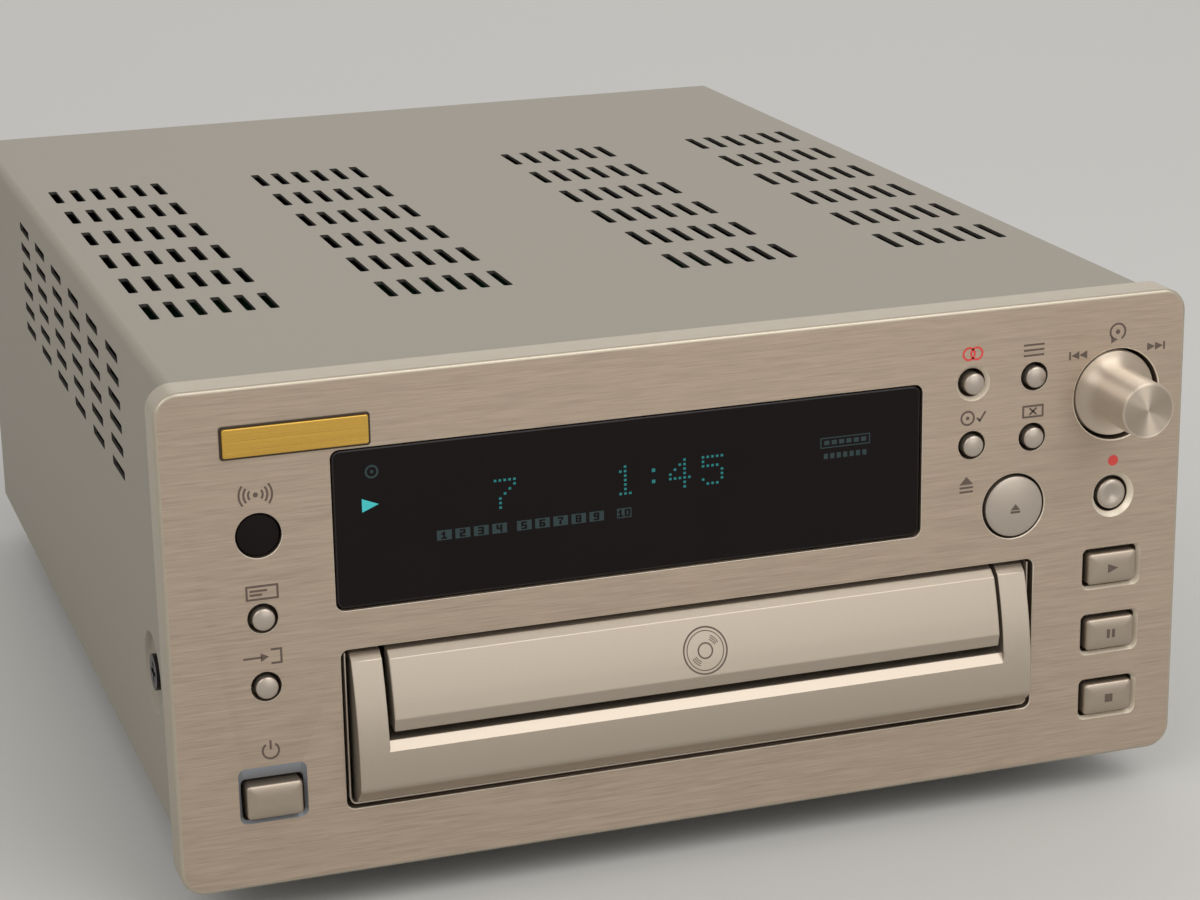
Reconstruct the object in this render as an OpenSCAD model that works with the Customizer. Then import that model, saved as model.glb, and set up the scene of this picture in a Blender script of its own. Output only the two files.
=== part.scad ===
// Mini hi-fi CD recorder with a motorised disc tray
// Lengths in mm. The front panel's face is drawn at y = 0 and its lower edge at z = 0,
// then the whole object is moved so that it stands on z = 0 about its middle.

/* [Front panel] */
// Width of the aluminium front panel
panel_w = 215; // [212:1:224]
// Height of the front panel
panel_h = 100.8; // [100:0.1:108]
// Thickness of the front panel
panel_t = 8; // [6:0.5:9]
// Radius of the panel's corners
panel_corner_r = 5; // [3:0.5:7]
// Bevel along the panel's front edge
panel_edge = 0.8; // [0.3:0.1:1.4]
// Bevel round the rectangular openings
hole_bevel = 0.6; // [0.2:0.1:1]

/* [Case] */
// Distance from the panel's side edge to the cover
cover_inset = 3.9; // [2.5:0.1:5]
// Distance from the panel's top edge down to the cover
cover_drop = 1.1; // [0.5:0.1:2]
// Depth from the panel's face to the rear edge of the cover
case_depth = 266; // [264:1:290]
// Thickness of the cover's sheet
sheet_t = 1; // [0.8:0.1:1.4]
// Outer radius of the cover's folds
fold_r = 2; // [1.5:0.5:4]
// Height of the cover's lower edge above the panel's lower edge
skirt_z = 2; // [1:0.5:3]
// Clear gap between the cover and the chassis inside it
cover_gap = 0.2; // [0.1:0.1:0.4]
// Thickness of the chassis sheet and rear panel
chassis_t = 1.2; // [1:0.1:1.6]
// Height of the chassis side flanges
flange_h = 12; // [8:1:20]
// Distance from the cover's rear edge in to the rear panel
rear_inset = 1.2; // [0.5:0.1:3]
// Height of the feet below the panel's lower edge
foot_h = 9.2; // [6:0.1:14]
// Diameter of a foot
foot_d = 26; // [18:1:32]
// Distance of a foot's middle in from the side of the chassis
foot_in = 20.4; // [16:0.1:32]
// Depth of the front feet behind the panel's face
foot_front_y = 42; // [32:1:50]
// Distance of the rear feet from the cover's rear edge
foot_rear_y = 34; // [24:1:50]

/* [Vents] */
// Length of a vent slot
slot_len = 14; // [8:1:20]
// Width of a vent slot
slot_w = 2.3; // [1.5:0.1:3]
// Distance between slots side by side
slot_pitch = 5; // [4:0.5:6]
// Distance between rows of slots
row_pitch = 24; // [22:1:28]
// Slots in a row of one group
slot_count = 6; // [3:1:6]
// Rows of slots
row_count = 6; // [3:1:6]
// Depth of the first row behind the panel's face
first_row_y = 67; // [55:1:80]
// Sideways place of the inner slot groups
group_in_x = 32.5; // [20:0.5:40]
// Distance from the cover's side to the middle of an outer slot group
group_side = 20.8; // [19:0.1:28]
// Distance from the cover's top to the first side row
side_row_drop = 7.6; // [6:0.1:12]

/* [Cover screws] */
// Depth of the side screw behind the panel's face
side_screw_y = 41; // [38:0.5:50]
// Height of the side screw above the panel's lower edge
side_screw_z = 31; // [26:0.1:40]
// Diameter of the dimple round the side screw
dimple_d = 17; // [12:0.5:18]
// Depth of the dimple
dimple_h = 1.5; // [0.8:0.1:2]
// Diameter of the side screw's head
side_head_d = 7.6; // [6:0.1:9]

/* [Display window] */
// Width of the display window
window_w = 122; // [110:1:124]
// Height of the display window
window_h = 31.7; // [28:0.1:33]
// Sideways place of the window's middle
window_x = -13.1; // [-15:0.1:-11]
// Height of the window's middle, as a share of the height above the tray opening
window_share = 0.446; // [0.43:0.001:0.47]
// Corner radius of the window
window_r = 2; // [0.5:0.1:3]
// Thickness of the window
window_t = 3; // [2:0.1:4]
// Distance of the window's face behind the panel's face
window_set = 0.4; // [0.1:0.1:1]
// Gap round the window
window_gap = 0.25; // [0.1:0.05:0.5]
// Thickness of the display tube
tube_t = 6.5; // [5:0.1:7]

/* [Control places] */
// Place of the left column, as a share of the way from the tray opening to the chassis side
left_share = 0.533; // [0.48:0.001:0.56]
// Place of the right column, as a share of the way from the tray opening to the chassis side
right_share = 0.643; // [0.6:0.001:0.65]
// Distance from the right column to the sync and finalize column
sync_off = 32.8; // [32:0.1:34]
// Distance from the right column to the menu and erase column
menu_off = 19; // [18:0.1:20]
// Distance from the right column to the open button
open_off = 23.1; // [22:0.1:24]
// Height of the upper small buttons, as a share of the height above the tray opening
top_row_share = 0.725; // [0.71:0.001:0.76]
// Height of the lower small buttons, as a share of the height above the tray opening
low_row_share = 0.487; // [0.47:0.001:0.5]
// Height of the jog knob, as a share of the height above the tray opening
jog_share = 0.616; // [0.6:0.001:0.63]
// Height of the open and record buttons, as a share of the height above the tray opening
open_share = 0.23; // [0.22:0.001:0.25]
// Height of the remote sensor, as a share of the height above the tray opening
sensor_share = 0.466; // [0.42:0.001:0.52]
// Height of the display button, as a share of the height above the tray opening
display_share = 0.165; // [0.14:0.001:0.2]
// Height of the input button above the panel's lower edge
input_z = 40.8; // [38:0.1:42]
// Height of the power button above the panel's lower edge
power_z = 17.7; // [16:0.1:20]
// Height of the stop button above the panel's lower edge
stop_z = 12.95; // [12.5:0.05:14]
// Distance between stop, pause and play
transport_pitch = 14.6; // [13.5:0.1:15]

/* [Buttons] */
// Diameter of a small button's hole
small_hole_d = 6; // [5:0.1:7]
// Diameter of the open button's hole
open_hole_d = 14; // [12:0.1:15]
// Diameter of the record button's hole
record_hole_d = 7.8; // [7:0.1:9]
// Extra diameter of the countersink on the sync and record holes
sink_extra = 2; // [1:0.1:2.4]
// Gap round a round button
round_gap = 0.55; // [0.25:0.05:0.6]
// Width of a rectangular button's hole
bar_hole_w = 12.4; // [11:0.1:13]
// Height of a transport button's hole
bar_hole_h = 8.1; // [7.5:0.1:8.6]
// Height of the power button's hole
power_hole_h = 8.3; // [7.5:0.1:9]
// Height of the slope above the power button's hole
power_slope = 2.2; // [0.8:0.1:2.6]
// Gap round a rectangular button
bar_gap = 0.65; // [0.3:0.05:0.9]
// How far a button stands proud of the panel
button_proud = 1; // [0.6:0.1:2]
// How far the power button stands proud of the panel
power_proud = 1.8; // [1:0.1:3]
// How far a button is pushed in
button_travel = 1.2; // [0.6:0.1:1.4]
// Collar behind the panel that keeps a button in
collar = 0.8; // [0.6:0.1:1]
// Diameter of a button's stem
stem_d = 3; // [2.5:0.1:4]
// Diameter of the remote sensor window
sensor_d = 9; // [7:0.1:10]

/* [Jog knob] */
// Diameter of the knob
knob_d = 11.7; // [9:0.1:13]
// How far the knob stands proud of the panel
knob_proud = 13.6; // [8:0.1:18]
// Diameter of the knob's flange
knob_flange_d = 18; // [16:0.1:18.4]
// Diameter of the hole round the knob
jog_hole_d = 19.5; // [19:0.1:20]
// Distance of the knob's flange behind the panel's face
flange_set = 0.7; // [0.4:0.1:1.2]
// Diameter of the knob's shaft
shaft_d = 6; // [5:0.1:6.4]
// Radial clearance of the shaft
shaft_gap = 0.05; // [0.03:0.01:0.08]
// How far the knob is pushed in
jog_travel = 1; // [0.5:0.1:1.4]

/* [Tray opening] */
// Width of the opening in the panel
tray_hole_w = 146.5; // [145:0.1:148]
// Height of the opening in the panel
tray_hole_h = 32.1; // [31.8:0.1:33]
// Height of the opening's lower edge above the panel's lower edge
tray_hole_z = 13.5; // [12.5:0.1:14]
// Gap between the opening and the surround
surround_gap = 1.2; // [0.6:0.1:1.6]
// Gap between the disc tray and the surround's columns
notch_gap = 2.45; // [1.8:0.05:3.5]
// Height of the surround's lower bar
bar_h = 13.1; // [12.6:0.1:13.4]
// How far the surround's lower bar stands proud of the panel
bar_proud = 4.1; // [2:0.1:6]
// Bevel on the lower bar's top edge
bar_bevel = 1.6; // [0.8:0.1:2.2]
// Gap between the tray front and the surround's columns
front_gap = 1.3; // [0.5:0.1:1.8]
// Gap below the tray front
front_low_gap = 1.9; // [1.2:0.1:2.4]

/* [Disc tray] */
// Diameter of the disc that the tray takes
disc_d = 120; // [119:0.5:120.5]
// Radial clearance round the disc
disc_gap = 0.6; // [0.3:0.1:0.8]
// Rim of the tray at each side of the disc
tray_rim = 3; // [2.5:0.1:3.4]
// Thickness of the tray
tray_h = 9; // [8.5:0.1:9.4]
// Depth of the disc recess
recess_h = 5.5; // [4.6:0.1:5.8]
// Depth of the inner recess for small discs
small_recess_h = 1.2; // [0.6:0.1:1.5]
// Half width of the pickup slot
slot_half = 19; // [17.5:0.5:22]
// How far the tray slides out
tray_travel = 130; // [110:1:132]
// Width of the runners under the tray
runner_w = 5; // [4:0.1:5.5]
// Height of the runners under the tray
runner_h = 3.3; // [3:0.1:3.4]
// Running gap of the tray in its guides
guide_gap = 0.3; // [0.2:0.05:0.5]

/* [Loading gear] */
// Tooth module of rack and pinion
rack_m = 1; // [0.9:0.05:1.05]
// Teeth of the pinion
pinion_n = 16; // [15:1:17]
// Tooth module of the reduction gears
gear_m = 0.75; // [0.7:0.05:0.8]
// Teeth of the big gear
big_n = 32; // [28:1:34]
// Teeth of the small gear
small_n = 14; // [13:1:15]
// Play between teeth
backlash = 0.16; // [0.12:0.02:0.24]
// Radius of the belt wheel's groove
wheel_r = 9.5; // [8:0.5:10]
// Radius of the motor pulley's groove
pulley_r = 2.8; // [2.4:0.1:3.4]
// Thickness of the belt
belt_t = 1.2; // [0.8:0.1:1.4]
// Radius of the gear posts
post_r = 2; // [1.5:0.1:2.2]
// Running clearance of wheels and rails
run_gap = 0.05; // [0.03:0.01:0.08]

/* [Disc drive] */
// Radius of the turntable
turntable_r = 15; // [13:0.5:16]
// Radius of the hub that centres the disc
hub_r = 7.3; // [7:0.05:7.4]
// Height of the turntable's face above the disc recess
lift = 1.5; // [1:0.1:1.8]
// Radius of the spindle motor
spindle_r = 12; // [10:0.5:13]
// Radius of the clamp puck
puck_r = 13.5; // [11:0.5:14.5]
// Radius of the sled's rails
rail_r = 1.5; // [1.2:0.1:1.8]
// Distance of the rails from the middle
rail_x = 26; // [24:0.5:27]

/* [Rear] */
// Radius of a line jack's sleeve
jack_r = 4.15; // [4:0.01:4.3]
// How far the line jacks stand out of the rear panel
jack_len = 9; // [8:0.1:11]
// Distance between line jacks
jack_pitch = 14; // [13:0.5:18]
// Width of the mains inlet
inlet_w = 22; // [20:0.5:26]
// Height of the mains inlet
inlet_h = 13; // [12:0.5:15]

/* [Hidden] */
$fn = 48;
e = 0.01;

// Case
cover_w = panel_w - 2 * cover_inset;
cover_top = panel_h - cover_drop;
inner_x = cover_w / 2 - sheet_t - cover_gap;
inner_top = cover_top - sheet_t - cover_gap;
floor_z = skirt_z + chassis_t;
tab_x = cover_w / 2 - sheet_t - dimple_h;
rear_out = case_depth - rear_inset;
rear_in = rear_out - chassis_t;
foot_rear = case_depth - foot_rear_y;
foot_x = inner_x - foot_in;
group_out_x = cover_w / 2 - group_side;

// Subframe and front board
sub_t = 4;
sub_back = panel_t + sub_t;
board_gap = 8;
pcb_t = 1.6;
board_y = sub_back + board_gap;
board_x = inner_x - chassis_t - 0.3;
pocket_h = 0.1 + 1.2 + button_travel + 0.2;
collar_y0 = panel_t + 0.1;
collar_y1 = collar_y0 + 1.2;
switch_h = 3.4;
switch_cap = 0.9;
stem_end = board_y - switch_h - switch_cap - button_travel - 0.15;
pillar_d = 5;
pillar_top_z = panel_h - 6.6;

// Control places
hole_x = tray_hole_w / 2;
hole_z1 = tray_hole_z + tray_hole_h;
side_band = inner_x - hole_x;
upper_h = panel_h - hole_z1;
left_x = -hole_x - left_share * side_band;
right_x = hole_x + right_share * side_band;
top_row_z = hole_z1 + top_row_share * upper_h;
low_row_z = hole_z1 + low_row_share * upper_h;
jog_z = hole_z1 + jog_share * upper_h;
open_z = hole_z1 + open_share * upper_h;
sensor_z = hole_z1 + sensor_share * upper_h;
window_z = hole_z1 + window_share * upper_h;
plate_z = panel_h - 10.65;
display_at = [left_x, hole_z1 + display_share * upper_h];
input_at = [left_x, input_z];
power_at = [left_x + 0.3, power_z];
sync_at = [right_x - sync_off, top_row_z];
menu_at = [right_x - menu_off, top_row_z];
finalize_at = [right_x - sync_off, low_row_z];
erase_at = [right_x - menu_off, low_row_z];
open_at = [right_x - open_off, open_z];
record_at = [right_x, open_z];
play_at = [right_x, stop_z + 2 * transport_pitch];
pause_at = [right_x, stop_z + transport_pitch];
stop_at = [right_x, stop_z];
small_at = [display_at, input_at, sync_at, menu_at, finalize_at, erase_at];
bar_at = [play_at, pause_at, stop_at];
key_at = concat(small_at, bar_at, [power_at, open_at, record_at]);
small_d = small_hole_d - 2 * round_gap;
open_d = open_hole_d - 2 * round_gap;
record_d = record_hole_d - 2 * round_gap;
bar_w = bar_hole_w - 2 * bar_gap;
bar_face_h = bar_hole_h - 2 * bar_gap;
power_face_h = power_hole_h - 2 * bar_gap;

// Jog knob
flange_y1 = flange_set + 2.3;
shaft_y0 = -knob_proud + 5;
encoder_y0 = board_y - 6.5;
plunger_y0 = encoder_y0 + 2.5;
plunger_t = 1.2;
bush_r = shaft_d / 2 + 1.6;

// Tray opening and tray heights
recess_r = disc_d / 2 + disc_gap;
small_disc_r = 40 + disc_gap;
tray_w = 2 * (recess_r + tray_rim);
tray_side = tray_w / 2;
surround_w = tray_hole_w - 2 * surround_gap;
surround_z0 = tray_hole_z + 0.7;
surround_z1 = hole_z1 - 0.3;
bar_top = surround_z0 + bar_h;
face_rise = (surround_z1 - 2.5) - (surround_z0 + 3.5);
bevel_y = -bar_proud + bar_proud * (bar_h - 3.5) / face_rise + bar_bevel;
notch_w = tray_w + 2 * notch_gap;
front_w = notch_w - 2 * front_gap;
front_z0 = bar_top + front_low_gap;
front_z1 = surround_z1;
front_back = 3;
runner_z0 = bar_top + 0.9;
tray_z0 = runner_z0 + runner_h;
tray_z1 = tray_z0 + tray_h;
recess_z = tray_z1 - recess_h;
disc_y = front_back + 6.4 + recess_r;
tray_end = disc_y + recess_r + 19.4;
tail_end = tray_end + 35;

// Drive frame
frame_wall = 2.5;
frame_in = tray_side + 0.4;
frame_out = frame_in + frame_wall;
frame_z0 = surround_z0 - 4.2;
frame_top = tray_z1 + 5.5;
base_top = frame_z0 + 2;
frame_end = tail_end + 5;
ledge_top = runner_z0 - guide_gap;
ledge_x = tray_side - runner_w + 1;
lip_z0 = tray_z1 + guide_gap + 0.1;
ear_x = frame_out + 5.5;
ear_y = [32, frame_end - 18];
ear_top = frame_z0 + 3;

// Loading gear
pitch_r = rack_m * pinion_n / 2;
rack_x = -tray_side + runner_w + rack_m;
pinion_x = rack_x + pitch_r;
pinion_y = sub_back + 19;
pinion_z0 = runner_z0 + 0.2;
pinion_z1 = tray_z0 - 0.3;
wheel_x = pinion_x + gear_m * (big_n + small_n) / 2;
big_z0 = base_top + 8.5;
big_z1 = big_z0 + 3;
groove_z0 = big_z1 + 1;
groove_z1 = groove_z0 + 3;
motor_x = wheel_x + wheel_r + 30;
motor_r = 11.5;
rack_y0 = front_back + 20;
rack_y1 = pinion_y + tray_travel + 12;
rack_teeth = floor((rack_y1 - pinion_y) / (PI * rack_m));
rack_back = floor((pinion_y - rack_y0) / (PI * rack_m));

// Traverse and turntable
hinge_y = disc_y + 88;
traverse_z0 = base_top + 6;
traverse_z1 = traverse_z0 + 2;
traverse_x = rail_x + 16;
traverse_y0 = disc_y - 24;
hinge_z = traverse_z0 + 1;
seat_z = recess_z + lift;
hub_top = seat_z + 1.9;
table_z0 = seat_z - 3.5;
spindle_z1 = table_z0 - 0.4;
trunnion_x = traverse_x + 7.5;
rail_z = traverse_z1 + 5.5;
rail_y0 = disc_y + spindle_r + 1;
rail_y1 = hinge_y - 4;
sled_y0 = rail_y0 + 4.3;
sled_len = 28;
lens_y = sled_y0 + 7;
sled_z0 = traverse_z1 + 1.5;
sled_z1 = tray_z0 - 1.5;
screw_x = rail_x + 8;
sled_x = rail_x + 3.5;

// Clamp
bridge_t = 1.2;
puck_z0 = hub_top + 0.5;
puck_flange = 3;

// Boards
main_z = frame_top + 12;
main_x = inner_x - 10;
main_y0 = board_y + 20;
main_y1 = rear_in - 13;
bracket_w = 8;
bracket_x = main_x - bracket_w;
bracket_hole_x = bracket_x + bracket_w / 2 + 0.5;
bracket_y0 = ear_y[0] + 28;
bracket_y1 = ear_y[1] - 8;
bracket_hole_y = [bracket_y0 + 8, bracket_y1 - 8];
supply_z = floor_z + 7;
core_x0 = -inner_x + 10;
core_x1 = core_x0 + 56;
supply_x0 = core_x1 + 8.4;
supply_x1 = inner_x - 9;
supply_y0 = frame_end + 8;
supply_y1 = rear_in - 8;
supply_depth = supply_y1 - supply_y0;

// Rear
jack_z = main_z + pcb_t + 8;
jack_x = -inner_x + 32;
optical_x = [jack_x + 48, jack_x + 66];
inlet_x = inner_x - 27;
inlet_z = floor_z + 22;
mid_y = (rear_out + jack_len - knob_proud) / 2;

// Colours of the materials
champagne = [0.62, 0.56, 0.48];
pale = [0.72, 0.67, 0.59];
cover_grey = [0.52, 0.5, 0.45];
silver = [0.74, 0.72, 0.68];
steel = [0.68, 0.68, 0.66];
black = [0.06, 0.06, 0.06];
green = [0.1, 0.3, 0.16];
gold = [0.78, 0.6, 0.25];
beige = [0.78, 0.74, 0.64];

// Drawing helpers

// Moves the drawing onto its stand about the middle of its outline
module placed() {
  translate([0, -mid_y, foot_h]) children();
}

module box(x0, x1, y0, y1, z0, z1) {
  translate([x0, y0, z0]) cube([x1 - x0, y1 - y0, z1 - z0]);
}

// Rounded rectangle about its middle
module rrect(w, h, r) {
  square([w - 2 * r, h], center = true);
  square([w, h - 2 * r], center = true);
  for (sx = [-1, 1], sz = [-1, 1]) {
    translate([sx * (w / 2 - r), sz * (h / 2 - r)]) circle(r);
  }
}

// Front view drawing made solid from y0 back to y1
module upright(y0, y1) {
  translate([0, y1, 0]) rotate([90, 0, 0]) linear_extrude(y1 - y0) children();
}

// Side view drawing (depth, height) made solid from x0 to x1
module across(x0, x1) {
  translate([x0, 0, 0]) rotate([90, 0, 90]) linear_extrude(x1 - x0) children();
}

module slab(at, w, h, r, y0, y1) {
  upright(y0, y1) translate(at) rrect(w, h, r);
}

module rod_y(at, d, y0, y1) {
  translate([at[0], y1, at[1]]) rotate([90, 0, 0]) cylinder(d = d, h = y1 - y0);
}

module cone_y(at, d0, d1, y0, y1) {
  translate([at[0], y1, at[1]]) rotate([90, 0, 0]) cylinder(d1 = d1, d2 = d0, h = y1 - y0);
}

module rod_z(x, y, r, z0, z1) {
  translate([x, y, z0]) cylinder(r = r, h = z1 - z0);
}

module rod_x(y, z, r, x0, x1) {
  translate([x0, y, z]) rotate([0, 90, 0]) cylinder(r = r, h = x1 - x0);
}

function arc(c, r, a0, a1, n) =
  [for (i = [0 : n]) c + r * [cos(a0 + (a1 - a0) * i / n), sin(a0 + (a1 - a0) * i / n)]];

// Rectangular opening with a bevelled front edge
module bevelled_hole(at, w, h, r) {
  slab(at, w, h, r, -1, panel_t + 1);
  hull() {
    slab(at, w + 2 * hole_bevel, h + 2 * hole_bevel, r + hole_bevel, -0.2, 0);
    slab(at, w, h, r, hole_bevel, hole_bevel + 0.1);
  }
}

module round_hole(at, d, sink) {
  rod_y(at, d, -1, panel_t + 1);
  cone_y(at, d + sink, d, -e, sink / 2);
}

// Involute spur gear outline
function inv(a) = tan(a) * 180 / PI - a;

function half_tooth(n, m, r) =
  90 / n - backlash * 45 / (PI * m * n / 2) + inv(20) - inv(acos(min(1, m * n * cos(20) / 2 / r)));

module gear_outline(n, m) {
  tip = m * n / 2 + 0.8 * m;
  root = m * n / 2 - 1.1 * m;
  base = max(root + 0.05 * m, m * n * cos(20) / 2);
  radii = [for (i = [0 : 4]) base + (tip - base) * i / 4];
  polygon([for (k = [0 : n - 1])
    for (p = concat(
      [[root, half_tooth(n, m, base)]],
      [for (r = radii) [r, half_tooth(n, m, r)]],
      [for (i = [4 : -1 : 0]) [radii[i], -half_tooth(n, m, radii[i])]],
      [[root, -half_tooth(n, m, base)]]))
      p[0] * [cos(360 * k / n - p[1]), sin(360 * k / n - p[1])]]);
}

module gear(x, y, n, m, turn, z0, z1) {
  translate([x, y, z0]) rotate([0, 0, turn]) linear_extrude(z1 - z0) gear_outline(n, m);
}

// Front

module front_panel() color(champagne) difference() {
  union() {
    slab([0, panel_h / 2], panel_w, panel_h, panel_corner_r, panel_edge, panel_t);
    hull() {
      slab([0, panel_h / 2], panel_w, panel_h, panel_corner_r, panel_edge, panel_edge + e);
      slab([0, panel_h / 2], panel_w - 2 * panel_edge, panel_h - 2 * panel_edge,
        panel_corner_r - panel_edge, 0, e);
    }
  }
  bevelled_hole([0, tray_hole_z + tray_hole_h / 2], tray_hole_w, tray_hole_h, 1.5);
  slab([window_x, window_z], window_w, window_h, window_r, -1, panel_t + 1);
  rod_y([left_x, sensor_z], sensor_d, -1, panel_t + 1);
  rod_y([right_x, jog_z], jog_hole_d, -1, panel_t + 1);
  for (at = [display_at, input_at, menu_at, finalize_at, erase_at]) round_hole(at, small_hole_d, 0.4);
  round_hole(sync_at, small_hole_d, sink_extra);
  round_hole(record_at, record_hole_d, sink_extra);
  round_hole(open_at, open_hole_d, 0.6);
  for (at = bar_at) bevelled_hole(at, bar_hole_w, bar_hole_h, 1);
  bevelled_hole(power_at, bar_hole_w, power_hole_h, 1);
  hull() {
    slab(power_at + [0, power_slope / 2], bar_hole_w + 2 * hole_bevel, power_hole_h + power_slope,
      1.5, -0.2, 0);
    slab(power_at, bar_hole_w, power_hole_h, 1, 2 * hole_bevel, 2 * hole_bevel + 0.1);
  }
}

module round_guide(at, d) {
  rod_y(at, d + 2 * collar + 0.8, panel_t - 1, panel_t + pocket_h);
  rod_y(at, stem_d + 0.5, panel_t, sub_back + 1);
}

module bar_guide(at, w, h) {
  slab(at, w + 2 * collar + 0.8, h + 2 * collar + 0.8, 1, panel_t - 1, panel_t + pocket_h);
  rod_y(at, stem_d + 0.5, panel_t, sub_back + 1);
}

module front_subframe() color(black) {
  rim_w = window_w - 2 * window_gap;
  rim_h = window_h - 2 * window_gap;
  difference() {
    union() {
      upright(panel_t, sub_back) cover_outline(sheet_t + cover_gap, floor_z + cover_gap);
      slab([window_x, window_z], rim_w, rim_h, window_r, window_set + window_t, panel_t + e);
      for (p = pillars) rod_y(p, pillar_d, sub_back - e, board_y);
    }
    slab([window_x, window_z], rim_w - 6, rim_h - 5, 1, -1, sub_back + 1);
    slab([0, tray_hole_z + tray_hole_h / 2], tray_hole_w, tray_hole_h, 1.5, 0, sub_back + 1);
    rod_y([left_x, sensor_z], sensor_d - 3, 0, sub_back + 1);
    rod_y([right_x, jog_z], 2 * bush_r + 1, 0, sub_back + 1);
    for (at = small_at) round_guide(at, small_d);
    round_guide(open_at, open_d);
    round_guide(record_at, record_d);
    for (at = bar_at) bar_guide(at, bar_w, bar_face_h);
    bar_guide(power_at, bar_w, power_face_h);
    for (p = pillars) rod_y(p, 2.4, board_y - 6, board_y + 1);
  }
}

// Board pillars, which stand between the buttons
pillars = [
  [-inner_x + 4.5, pillar_top_z], [0, pillar_top_z], [inner_x - 4.5, pillar_top_z],
  [left_x, power_z - 8.5], [left_x, (power_z + input_z) / 2],
  [right_x, stop_z + 0.5 * transport_pitch], [right_x, stop_z + 1.5 * transport_pitch]];

module display_window() color([0.05, 0.04, 0.05])
  slab([window_x, window_z], window_w - 2 * window_gap, window_h - 2 * window_gap, window_r,
    window_set, window_set + window_t);

module sensor_window() color([0.05, 0.03, 0.04])
  rod_y([left_x, sensor_z], sensor_d - 0.4, window_set, panel_t);

module name_plate() color(gold)
  slab([left_x + 7.9, plate_z], 29, 6.5, 0.5, -0.8, 0);

module round_button(at, d, dome) {
  r = (d * d / 4 + dome * dome) / (2 * dome);
  rod_y(at, d, -button_proud + dome, collar_y0 + e);
  intersection() {
    rod_y(at, d, -button_proud - 1, -button_proud + dome + e);
    translate([at[0], -button_proud + r, at[1]]) sphere(r);
  }
  rod_y(at, d + 2 * collar, collar_y0, collar_y1);
  rod_y(at, stem_d, collar_y1 - e, stem_end);
}

module bar_button(at, w, h, proud) {
  slab(at, w, h, 0.8, -proud + 0.4, collar_y0 + e);
  slab(at, w - 0.8, h - 0.8, 0.6, -proud, -proud + 0.4 + e);
  slab(at, w + 2 * collar, h + 2 * collar, 1, collar_y0, collar_y1);
  rod_y(at, stem_d, collar_y1 - e, stem_end);
}

module power_button() color(silver) bar_button(power_at, bar_w, power_face_h, power_proud);
module display_button() color(silver) round_button(display_at, small_d, 0.6);
module input_button() color(silver) round_button(input_at, small_d, 0.6);
module sync_button() color(silver) round_button(sync_at, small_d, 0.6);
module menu_button() color(silver) round_button(menu_at, small_d, 0.6);
module finalize_button() color(silver) round_button(finalize_at, small_d, 0.6);
module erase_button() color(silver) round_button(erase_at, small_d, 0.6);
module open_button() color(silver) round_button(open_at, open_d, 0.7);
module play_button() color(silver) bar_button(play_at, bar_w, bar_face_h, button_proud);
module pause_button() color(silver) bar_button(pause_at, bar_w, bar_face_h, button_proud);
module stop_button() color(silver) bar_button(stop_at, bar_w, bar_face_h, button_proud);

// The record button has a finger dish in its face
module record_button() color(silver) difference() {
  union() {
    rod_y(record_at, record_d, -button_proud, collar_y0 + e);
    rod_y(record_at, record_d + 2 * collar, collar_y0, collar_y1);
    rod_y(record_at, stem_d, collar_y1 - e, stem_end);
  }
  translate([record_at[0], -button_proud - 5.3, record_at[1]]) sphere(6);
}

module jog_knob() color(pale) {
  at = [right_x, jog_z];
  difference() {
    union() {
      rod_y(at, knob_d, -knob_proud + 0.4, flange_y1);
      cone_y(at, knob_d - 0.8, knob_d, -knob_proud, -knob_proud + 0.4 + e);
      cone_y(at, knob_d, knob_d + 1, -flange_set - 3, -flange_set + e);
      cone_y(at, knob_d + 1, knob_d + 3.6, -flange_set, flange_set + e);
      rod_y(at, knob_flange_d, flange_set, flange_y1);
    }
    rod_y(at, shaft_d + 2 * shaft_gap, shaft_y0 - 0.3, flange_y1 + 1);
  }
}

module jog_shaft() color(steel)
  rod_y([right_x, jog_z], shaft_d, shaft_y0, plunger_y0 - 0.05);

module jog_plunger() color(beige)
  rod_y([right_x, jog_z], shaft_d + 4, plunger_y0, plunger_y0 + plunger_t);

module jog_encoder() color(steel) {
  at = [right_x, jog_z];
  difference() {
    union() {
      slab(at, 13, 13, 0.5, encoder_y0, board_y);
      rod_y(at, 2 * bush_r, encoder_y0 - 4, encoder_y0 + e);
    }
    rod_y(at, shaft_d + 2 * shaft_gap, encoder_y0 - 5, board_y);
    rod_y(at, shaft_d + 4.6, plunger_y0 - 0.3, plunger_y0 + plunger_t + jog_travel + 0.3);
  }
}

module front_board() color(green) difference() {
  union() {
    box(-board_x, board_x, board_y, board_y + pcb_t, hole_z1 + 5, inner_top - 1);
    for (sx = [-1, 1]) mirror([sx < 0 ? 1 : 0, 0, 0])
      box(hole_x + 1.5, board_x, board_y, board_y + pcb_t, floor_z + 3, hole_z1 + 6);
  }
  for (p = pillars) rod_y(p, 3.4, board_y - 1, board_y + pcb_t + 1);
}

module key_switches() color([0.2, 0.2, 0.2]) for (at = key_at) {
  slab(at, 6, 6, 0.4, board_y - switch_h, board_y);
  rod_y(at, 3.4, board_y - switch_h - switch_cap, board_y - switch_h + e);
}

module display_tube() color([0.2, 0.24, 0.25])
  slab([window_x, window_z], window_w - 10, window_h - 6, 0.8, board_y - tube_t, board_y);

// Tray

module surround_side() polygon(concat(
  [[sub_back, surround_z0]],
  arc([3.5 - bar_proud, surround_z0 + 3.5], 3.5, 270, 180, 6),
  arc([2.5, surround_z1 - 2.5], 2.5, 180, 90, 5),
  [[sub_back, surround_z1]]));

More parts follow.
